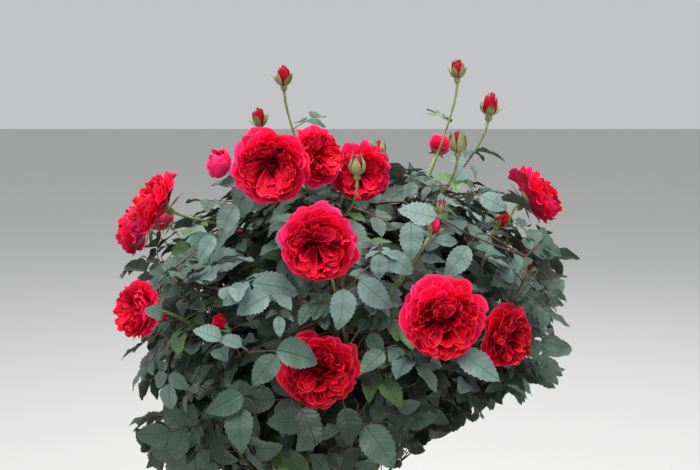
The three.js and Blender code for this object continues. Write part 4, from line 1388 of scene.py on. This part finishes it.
# By kind: rings, height of the claw, steps deeper in colour, share of blushing petals, how far petals flare
KINDS = {"bloom": (OPEN_RINGS, -0.42, 0, 0.16, 0.8), "half": (HALF_RINGS, -0.42, 0, 0.6, 0),
         "bud": (BUD_RINGS, -1.1, 3, 0.1, 0)}


def add_cups(skin, flower, index, guards):
    """Cupped petals: reach grows with the sine of u, height with a power of u, the lip rolls back or leans
    in and ruffles, each is hollow like a spoon, its corners are rounded and its middle is notched."""
    bloom = flower["kind"] == "bloom"
    u0, v, uv, faces = petal_grid(*CUP_GRID)
    rings, foot, deeper, blush, flare = KINDS[flower["kind"]]
    # Painted shade: a bloom low in the bush is a tone deeper and has no blush
    low = flower["at"][2] < SHADED_BELOW
    deeper, blush = deeper + low, blush * (1 - low)
    for ring, (reach, lip, roll, half, share) in enumerate(rings):
        count = int(round(guards * share))
        i = np.arange(count)
        draw, swing = draws(index * 37.7 + ring * 9.1 + i, 3)
        outer = ring < 3
        notch = (0.12 if bloom else 0.03) * draw(1) * np.exp(-((v - 0.3 * swing(2)) / 0.18) ** 2)
        u = u0 * (1 - (0.42 if outer else 0.26) * np.abs(v) ** 3.2 - notch)
        theta = (i[:, None] + 0.3 * swing(3) + 0.5 * (ring % 2)) / count * 2 * math.pi
        theta = theta + ring // 2 * 0.3 + index
        theta = theta + v * half * (1 + 0.12 * swing(4)) * (1.15 - 0.25 * u)
        reach = reach * (1 + (0.075 if outer else 0.05) * swing(5))
        spread_out = flare * (1 - 0.06 * ring)
        out = 0.1 + (reach - 0.1) * ((1 - spread_out) * np.sin(u * math.pi / 2) ** 0.85 + spread_out * u)
        out = out + 0.8 * min(roll, 0) * bump(u, 0.6, 1)
        z = foot + (lip + 0.04 * swing(6) - foot) * ((1 - spread_out) * u ** 1.7 + spread_out * u)
        z = z + (0.07 + (0.12 if outer else 0.06) * swing(16)) * v * u + 0.13 * (v ** 2 - 0.35) * u ** 2
        z = z - roll * (0.6 + 0.8 * draw(7)) * bump(u, 0.62, 1.02)
        wave = ripple(v, 3.5 + 2.5 * draw(8), draw(9)) * 0.05 + ripple(v, 7 + 3 * draw(10), draw(11)) * 0.025
        z = z + (1.9 if outer else 1) * wave * u ** 3
        out = out + 0.045 * u ** 4 * ripple(v, 4 + 3 * draw(12), draw(13))
        heart = heart_of(index) if bloom else None
        points = to_flower(flower, np.minimum(out, 1.1), theta, z, heart)
        # Guard rings take the bright outer tone and the rest the middle one, partly as painted light on the
        # outer petals
        tone = (OUTER if ring < 4 else MIDDLE) - deeper - (draw(14)[:, 0] > 0.75)
        tone = np.where(draw(15)[:, 0] > 1 - blush, BLUSH, np.maximum(tone, HEART))
        skin.add(points, uv, faces, tone)


# Rings of folds: folds in each quarter, nests in a fold, inner and outer reach, height at the outer reach
FOLDS = [(1, 7, 0.09, 0.62, 0.36), (2, 2, 0.42, 0.69, 0.38)]


def add_folds(skin, flower, index, most):
    """Folded petals in quarters: each is a shell whose lip runs out from the heart, round and back, nested
    in the next, narrow at its claw and leaning out to its lip. The folds of a quarter crowd together, so
    dark slits stand between the quarters."""
    u, s, uv, faces = petal_grid(*FOLD_GRID)
    hollow, quarters = flower["hollow"], most - index % 3 // 2
    for ring, (folds, nests, start, end, rim) in enumerate(FOLDS):
        count = quarters * folds
        fold, nest = (g.ravel() for g in np.meshgrid(np.arange(count), np.arange(nests), indexing="ij"))
        fold_seed = index * 21.3 + ring * 7.9 + fold * 1.37
        draw, swing = draws(fold_seed + nest * 0.71, 6)
        own = spread(fold_seed, 3, 3)[:, None]
        wedge = math.pi / count
        share = ((nest + 0.7) / nests)[:, None]
        quarter = (fold // folds)[:, None]
        place = ((fold % folds)[:, None] + 0.5) / folds - 0.5
        middle = 2 * math.pi / quarters * (quarter + 0.5 + place * 0.9) + index * 0.7 + ring * 0.4
        middle = middle + own * wedge * 0.4 + 0.08 * swing(13) * wedge
        half = wedge * share * (1.02 + 0.13 * swing(1))
        r_out = start + (end - start) * (0.36 + 0.64 * share) + 0.05 * own + 0.022 * swing(2)
        r_in = start * (0.8 + 0.5 * draw(3)) + (0.08 * hollow if ring == 0 else 0)
        plan = r_in + (r_out - r_in) * (1 - np.abs(s) ** 2.3)
        theta = middle + half * np.sin(s * math.pi / 2) * (0.74 + 0.26 * plan / r_out) * (0.62 + 0.38 * u)
        theta = theta + (1.4 - hollow) * own * (plan - r_in) \
            + (0.1 * swing(4) + 0.25 * swing(12) * (plan - r_in)) * u ** 2
        top = rim * (0.5 + 0.5 * plan / end) * (0.92 + 0.08 * share) + 0.042 * swing(5)
        top = (top - 0.5 * hollow * np.maximum(0, 0.55 - plan)) * (1 - 0.3 * np.maximum(0, np.sin(middle)))
        top = top + 0.028 * ripple(s, 4 + 3 * draw(6), draw(7)) + 0.012 * ripple(s, 11, draw(8))
        foot = -0.06 - 0.2 * hollow * (plan < 0.3)
        z = foot + (top - foot) * u ** 0.8
        rho = plan * (0.58 + 0.42 * u) + 0.04 * u ** 4
        rho = rho + 0.016 * u ** 3 * ripple(s, 8, draw(9))
        loose = 0.02 + 0.11 * (1 - hollow)
        drift = [loose * spread(index * 9.1 + ring * 7.9 + fold * 2.3, a, 5)[:, None] for a in (1, 2)]
        heart = [h + d for h, d in zip(heart_of(index), drift)]
        points = to_flower(flower, rho, theta, z, heart)
        # Painted light and shade: some folds, by parity and at random, take the lighter middle tone as if
        # lit, the rest the inner tone, and the innermost the heart tone as painted shade
        lit = ((nest + fold) % 2 + draw(11)[:, 0] > 1.15) & (nest + 2 * ring >= 1)
        lit |= (draw(10)[:, 0] > 0.8) & (nest < nests - 1)
        tone = np.where(lit, MIDDLE, np.where(nest + 2 * ring < 1, HEART, INNER))
        # Painted shade: folds of a bloom low in the bush are a tone deeper
        tone = np.maximum(tone - (flower["at"][2] < SHADED_BELOW), HEART)
        skin.add(points, uv, faces, tone)


def add_ruffles(skin, flower, index, many):
    """Loose petals among the folds: strips that stand on the bed askew to the spokes, bow with the square
    of v, lean out and ruffle along the lip."""
    u, v, uv, faces = petal_grid(*RUFFLE_GRID)
    i = np.arange(many)
    draw, swing = draws(index * 17.3 + i * 1.13, 11)
    spoke = i[:, None] * GOLDEN + index
    away = 0.2 + 0.4 * np.sqrt((i[:, None] + 0.5) / many) + 0.03 * swing(1)
    long = (0.085 + 0.075 * draw(2)) * (1 - 0.16 * (1 - u))
    askew = math.pi / 2 + 1.1 * swing(3)
    lean = 0.05 * u + 0.05 * u ** 3
    along, bow = long * v, 0.5 * long * v ** 2 * np.sign(swing(4))
    out = away + along * np.cos(askew) + bow * np.sin(askew) + lean
    side = along * np.sin(askew) - bow * np.cos(askew) + 0.02 * u ** 2 * ripple(v, 7, draw(5))
    top = 0.25 + 0.22 * np.minimum(away, 0.55) / 0.55 - 0.4 * flower["hollow"] * np.maximum(0, 0.5 - away)
    top = (top + 0.04 * swing(6)) * (1 - 0.25 * np.maximum(0, np.sin(spoke))) - 0.06 * v ** 2
    top = top + 0.022 * ripple(v, 5 + 3 * draw(7), draw(8))
    z = -0.1 + (top + 0.1) * u ** 0.85
    theta = spoke + np.arctan2(side, out)
    points = to_flower(flower, np.hypot(out, side), theta, z, heart_of(index))
    # Random middle or inner tone, and a tone deeper as painted shade in a bloom low in the bush
    tone = np.where(draw(9)[:, 0] > 0.6, MIDDLE, INNER) - (flower["at"][2] < SHADED_BELOW)
    skin.add(points, uv, faces, tone)


# The bed of a bloom's heart, in the bloom's radii
HEART_BED = [(0, -0.38), (0.3, -0.36), (0.44, -0.24), (0.3, -0.18), (0.1, -0.24), (0, -0.25)]


def add_heart(skin, flower, index):
    """Small twisted petals round the hollow heart: strips that rise and lean over it, on a turned bed."""
    r = flower["across"] / 2
    right, up = flower_frame(flower["face"])
    across, along = heart_of(index)
    middle = flower["at"] + r * (across * right + along * up)
    add_turned(skin, middle, flower["face"], np.array(HEART_BED) * r, 14)
    u, v, uv, faces = petal_grid(*HEART_GRID)
    i = np.arange(HEART_PETALS)
    draw, _ = draws(index * 13.9 + i, 9)
    theta = i[:, None] * 2.4 + index + v * (0.6 + 0.3 * draw(1))
    rho = (0.03 + 0.15 * draw(2)) * (0.7 + 0.3 * u) + 0.03 * v * u * np.sin(WHOLE_TURN * draw(3))
    z = -0.26 + (0.38 + 0.16 * draw(4) - 0.2 * flower["hollow"]) * u + 0.04 * u * ripple(v, 4, draw(5))
    points = to_flower(flower, rho, theta, z, heart_of(index))
    skin.add(points, uv, faces, np.where(i % 3, HEART, INNER))


# How far a bud has opened when its petals show one by one
CUPS_SHOW = 0.6
# The height of a closed bud, the hip under a bud and that under an open flower, in the flower's radii
BUD_TALL = 2.45
BUD_HIP = [(0, -2.05), (0.2, -1.98), (0.42, -1.75), (0.5, -1.5), (0.44, -1.26), (0.5, -1.12), (0, -1.05)]
BLOOM_HIP = [(0, -0.62), (0.06, -0.6), (0.11, -0.54), (0.12, -0.47), (0.16, -0.43), (0.3, -0.36),
             (0, -0.34)]


def bud_swell(share, far):
    """The reach of a bud along its height, fuller towards the top the further it has opened."""
    top = np.array([0, 0, 0, 0.02, 0.14, 0.34, 0.3]) * far
    reach = top + [0.5, 0.86, 1.08, 1.08, 0.84, 0.44, 0.14]
    return np.interp(share, [0, 0.12, 0.3, 0.5, 0.72, 0.9, 1], reach)


def add_sepals(skin, flower, index):
    """Five sepals: strips that widen and narrow to a long tip, along the bud or bent back behind."""
    u, v, uv, faces = petal_grid(*SEPAL_GRID)
    i = np.arange(SEPALS)[:, None]
    draw, _ = draws(index * 5.1 + np.arange(SEPALS), 12)
    if flower["kind"] == "bud":
        far, tall = flower["open"], 1.2 - 0.2 * flower["open"]
        z = -1.1 + (BUD_TALL - 1.2 * far + (1.1 - 0.5 * far) * draw(2) ** 2) * u
        hug = bud_swell(np.minimum((z + 1.1) / BUD_TALL, 0.8), far) * (1.09 + 0.06 * np.abs(v))
        rho = hug * (1 - 0.5 * np.maximum(0, z - 0.9) * (1 - far)) + (0.04 + (0.3 + far) * draw(1)) * u ** 3
        wide = (0.69 - 0.2 * far) * (1 - u) ** 0.7 * (0.72 + 0.5 * np.sin(u * 2.8)) + 0.035
        z = z + (tall - 1) * (z + 1.1)
    else:
        rho = 0.1 + 0.62 * u + 0.05 * np.abs(v)
        z = -0.5 - 0.12 * u - 0.1 * draw(1) * u ** 2
        wide = 0.13 * np.sin(np.clip(u * 1.1 + 0.12, 0, 1) * math.pi) ** 0.8 / np.maximum(rho, 0.1)
    theta = i * 2 * math.pi / SEPALS + index + v * wide + 0.12 * u * np.sin(WHOLE_TURN * draw(3))
    points = to_flower(flower, rho, theta, z)
    skin.add(points, uv, faces)


class ROSE_OT_blooms(RoseOperator, bpy.types.Operator):
    """Opens the blooms: rings of cupped petals round quarters of folded petals and a hollow heart"""
    bl_idname = "rose.blooms"
    bl_label = "Blooms"

    def execute(self, context):
        plan, bloom = bush_plan(), context.scene.rose.bloom
        skins = {True: Skin(), False: Skin()}
        for index, flower in enumerate(f for f in plan["flowers"] if f["kind"] != "bud"):
            skin = skins[flower["front"]]
            add_cups(skin, flower, index, bloom.guards)
            if flower["kind"] == "bloom":
                add_folds(skin, flower, index, bloom.quarters)
                add_ruffles(skin, flower, index, bloom.ruffles)
                add_heart(skin, flower, index)
        leaves = nodes_of("leaves_")
        skins[True].piece("blooms_front", petal_materials(), "foliage", *leaves)
        skins[False].piece("blooms_round", petal_materials(), "foliage", *leaves)
        return {"FINISHED"}


class ROSE_OT_buds(RoseOperator, bpy.types.Operator):
    """Makes the buds, and the hips and sepals of buds and blooms"""
    bl_idname = "rose.buds"
    bl_label = "Buds and sepals"

    def execute(self, context):
        plan, leaf, bloom = bush_plan(), context.scene.rose.leaf, context.scene.rose.bloom
        green, red = Skin(), Skin()
        for index, flower in enumerate(plan["flowers"]):
            r, at, face = flower["across"] / 2, flower["at"], flower["face"]
            bud, far = flower["kind"] == "bud", flower["open"]
            add_turned(green, at, face, np.array(BUD_HIP if bud else BLOOM_HIP) * r, 12)
            add_sepals(green, flower, index)
            if not bud:
                continue
            if far > CUPS_SHOW:
                add_cups(red, flower, index, bloom.guards)
                continue
            sides, share = 24, np.linspace(0, 1, 14)
            swell, turn = bud_swell(share, far), full_turn(sides)[None]
            spiral = (turn / (2 * math.pi) * 3 + share[:, None] * 0.9) % 1
            high = BUD_TALL * (1.2 - 0.2 * far)
            profile = np.concatenate([[(0, -1.15)], np.stack([swell, high * share - 1.1], axis=1),
                                      [(0, high - 1.07)]]) * r
            lap = (0.2 + 0.16 * far * share[:, None]) * r * swell[:, None]
            add_turned(red, at, face, profile, sides, (spiral - 0.5) * lap, CLOSED)
        fresh = bark_material("sepal", tuple(leaf.stalk), (0.28, 0.16, 0.10), 260.0, 0.0006)
        leaves = nodes_of("leaves_")
        green.piece("hips_and_sepals", [fresh], "foliage", *leaves)
        red.piece("bud_petals", petal_materials(), "foliage", *leaves)
        return {"FINISHED"}


# Soft lights: name, place, size, and power in key lights. They all point at one place.
LIGHTS = [("key", (-1.3, -1.9, 2.6), 1.8, 1), ("fill", (2.2, -1.4, 1.9), 2.2, 0.45),
          ("above", (0.1, -0.5, 3.2), 2.4, 4.4), ("back", (0.6, 2.4, 2.4), 2.0, 0.55)]
LIGHTS_AT = np.array([0, 0, 0.6])


class ROSE_OT_stage(RoseOperator, bpy.types.Operator):
    """Sets the pale floor, the soft studio light and the camera of the photograph"""
    bl_idname = "rose.stage"
    bl_label = "Studio"

    def execute(self, context):
        studio, scene = context.scene.rose.studio, context.scene
        mesh = bpy.data.meshes.new("studio_floor")
        reach = 14
        mesh.from_pydata([(-reach, -reach, 0), (reach, -reach, 0), (reach, reach, 0), (-reach, reach, 0)], [],
                         [(0, 1, 2, 3)])
        material, shader, w = new_material("studio_floor")
        pale = w.group(mottle_group(), Vector=w.coordinate("Object"), Scale=3.0)
        w.plug(w.mix(w.times(pale["Mask"], 0.15), tuple(studio.floor), scaled(studio.floor, 0.96)),
               shader.inputs["Base Color"])
        shader.inputs["Roughness"].default_value = 0.9
        mesh.materials.append(material)
        floor = bpy.data.objects.new("studio_floor", mesh)
        scene.collection.objects.link(floor)
        world = bpy.data.worlds.new("studio")
        world.use_nodes = True
        world.node_tree.nodes["Background"].inputs["Color"].default_value = (0.97, 0.985, 1, 1)
        world.node_tree.nodes["Background"].inputs["Strength"].default_value = studio.sky
        scene.world = world
        for name, place, size, power in LIGHTS:
            light = bpy.data.lights.new(name, "AREA")
            light.size, light.energy = size, studio.key * power
            lamp = bpy.data.objects.new(name, light)
            lamp.location = place
            aim = LIGHTS_AT - np.array(place)
            lamp.rotation_euler = (math.atan2(math.hypot(aim[0], aim[1]), -aim[2]), 0,
                                   math.atan2(aim[1], aim[0]) - math.pi / 2)
            scene.collection.objects.link(lamp)
        lens = bpy.data.cameras.new("camera")
        lens.sensor_width, lens.lens = SENSOR, SENSOR * FOCAL_PIXELS / FRAME_WIDE
        camera = bpy.data.objects.new("camera", lens)
        camera.location = camera_place()
        camera.rotation_euler = (math.pi / 2 - PITCH, 0, 0)
        scene.collection.objects.link(camera)
        scene.camera = camera
        scene.view_settings.view_transform = "Standard"
        return {"FINISHED"}


STEPS = ["pot", "soil", "limbs", "shoots", "leaves", "blooms", "buds", "stage"]


class ROSE_PT_panel(bpy.types.Panel):
    """The rose bush's operators and settings"""
    bl_label = "Rose bush"
    bl_space_type = "VIEW_3D"
    bl_region_type = "UI"
    bl_category = "Rose bush"

    def draw(self, context):
        for step in STEPS:
            self.layout.operator(f"rose.{step}")
        for group in ("pot", "leaf", "bloom", "studio"):
            box = self.layout.box()
            settings = getattr(context.scene.rose, group)
            for key in settings.__annotations__:
                box.prop(settings, key)


CLASSES = [RosePotSettings, RoseLeafSettings, RoseBloomSettings, RoseStudioSettings, RoseSettings,
           ROSE_OT_pot, ROSE_OT_soil, ROSE_OT_limbs, ROSE_OT_shoots, ROSE_OT_leaves, ROSE_OT_blooms,
           ROSE_OT_buds, ROSE_OT_stage, ROSE_PT_panel]


def register():
    for cls in CLASSES:
        bpy.utils.register_class(cls)
    bpy.types.Scene.rose = PointerProperty(type=RoseSettings)


def unregister():
    del bpy.types.Scene.rose
    for cls in reversed(CLASSES):
        bpy.utils.unregister_class(cls)


def main():
    register()
    for step in STEPS:
        getattr(bpy.ops.rose, step)()


if __name__ == "__main__":
    main()
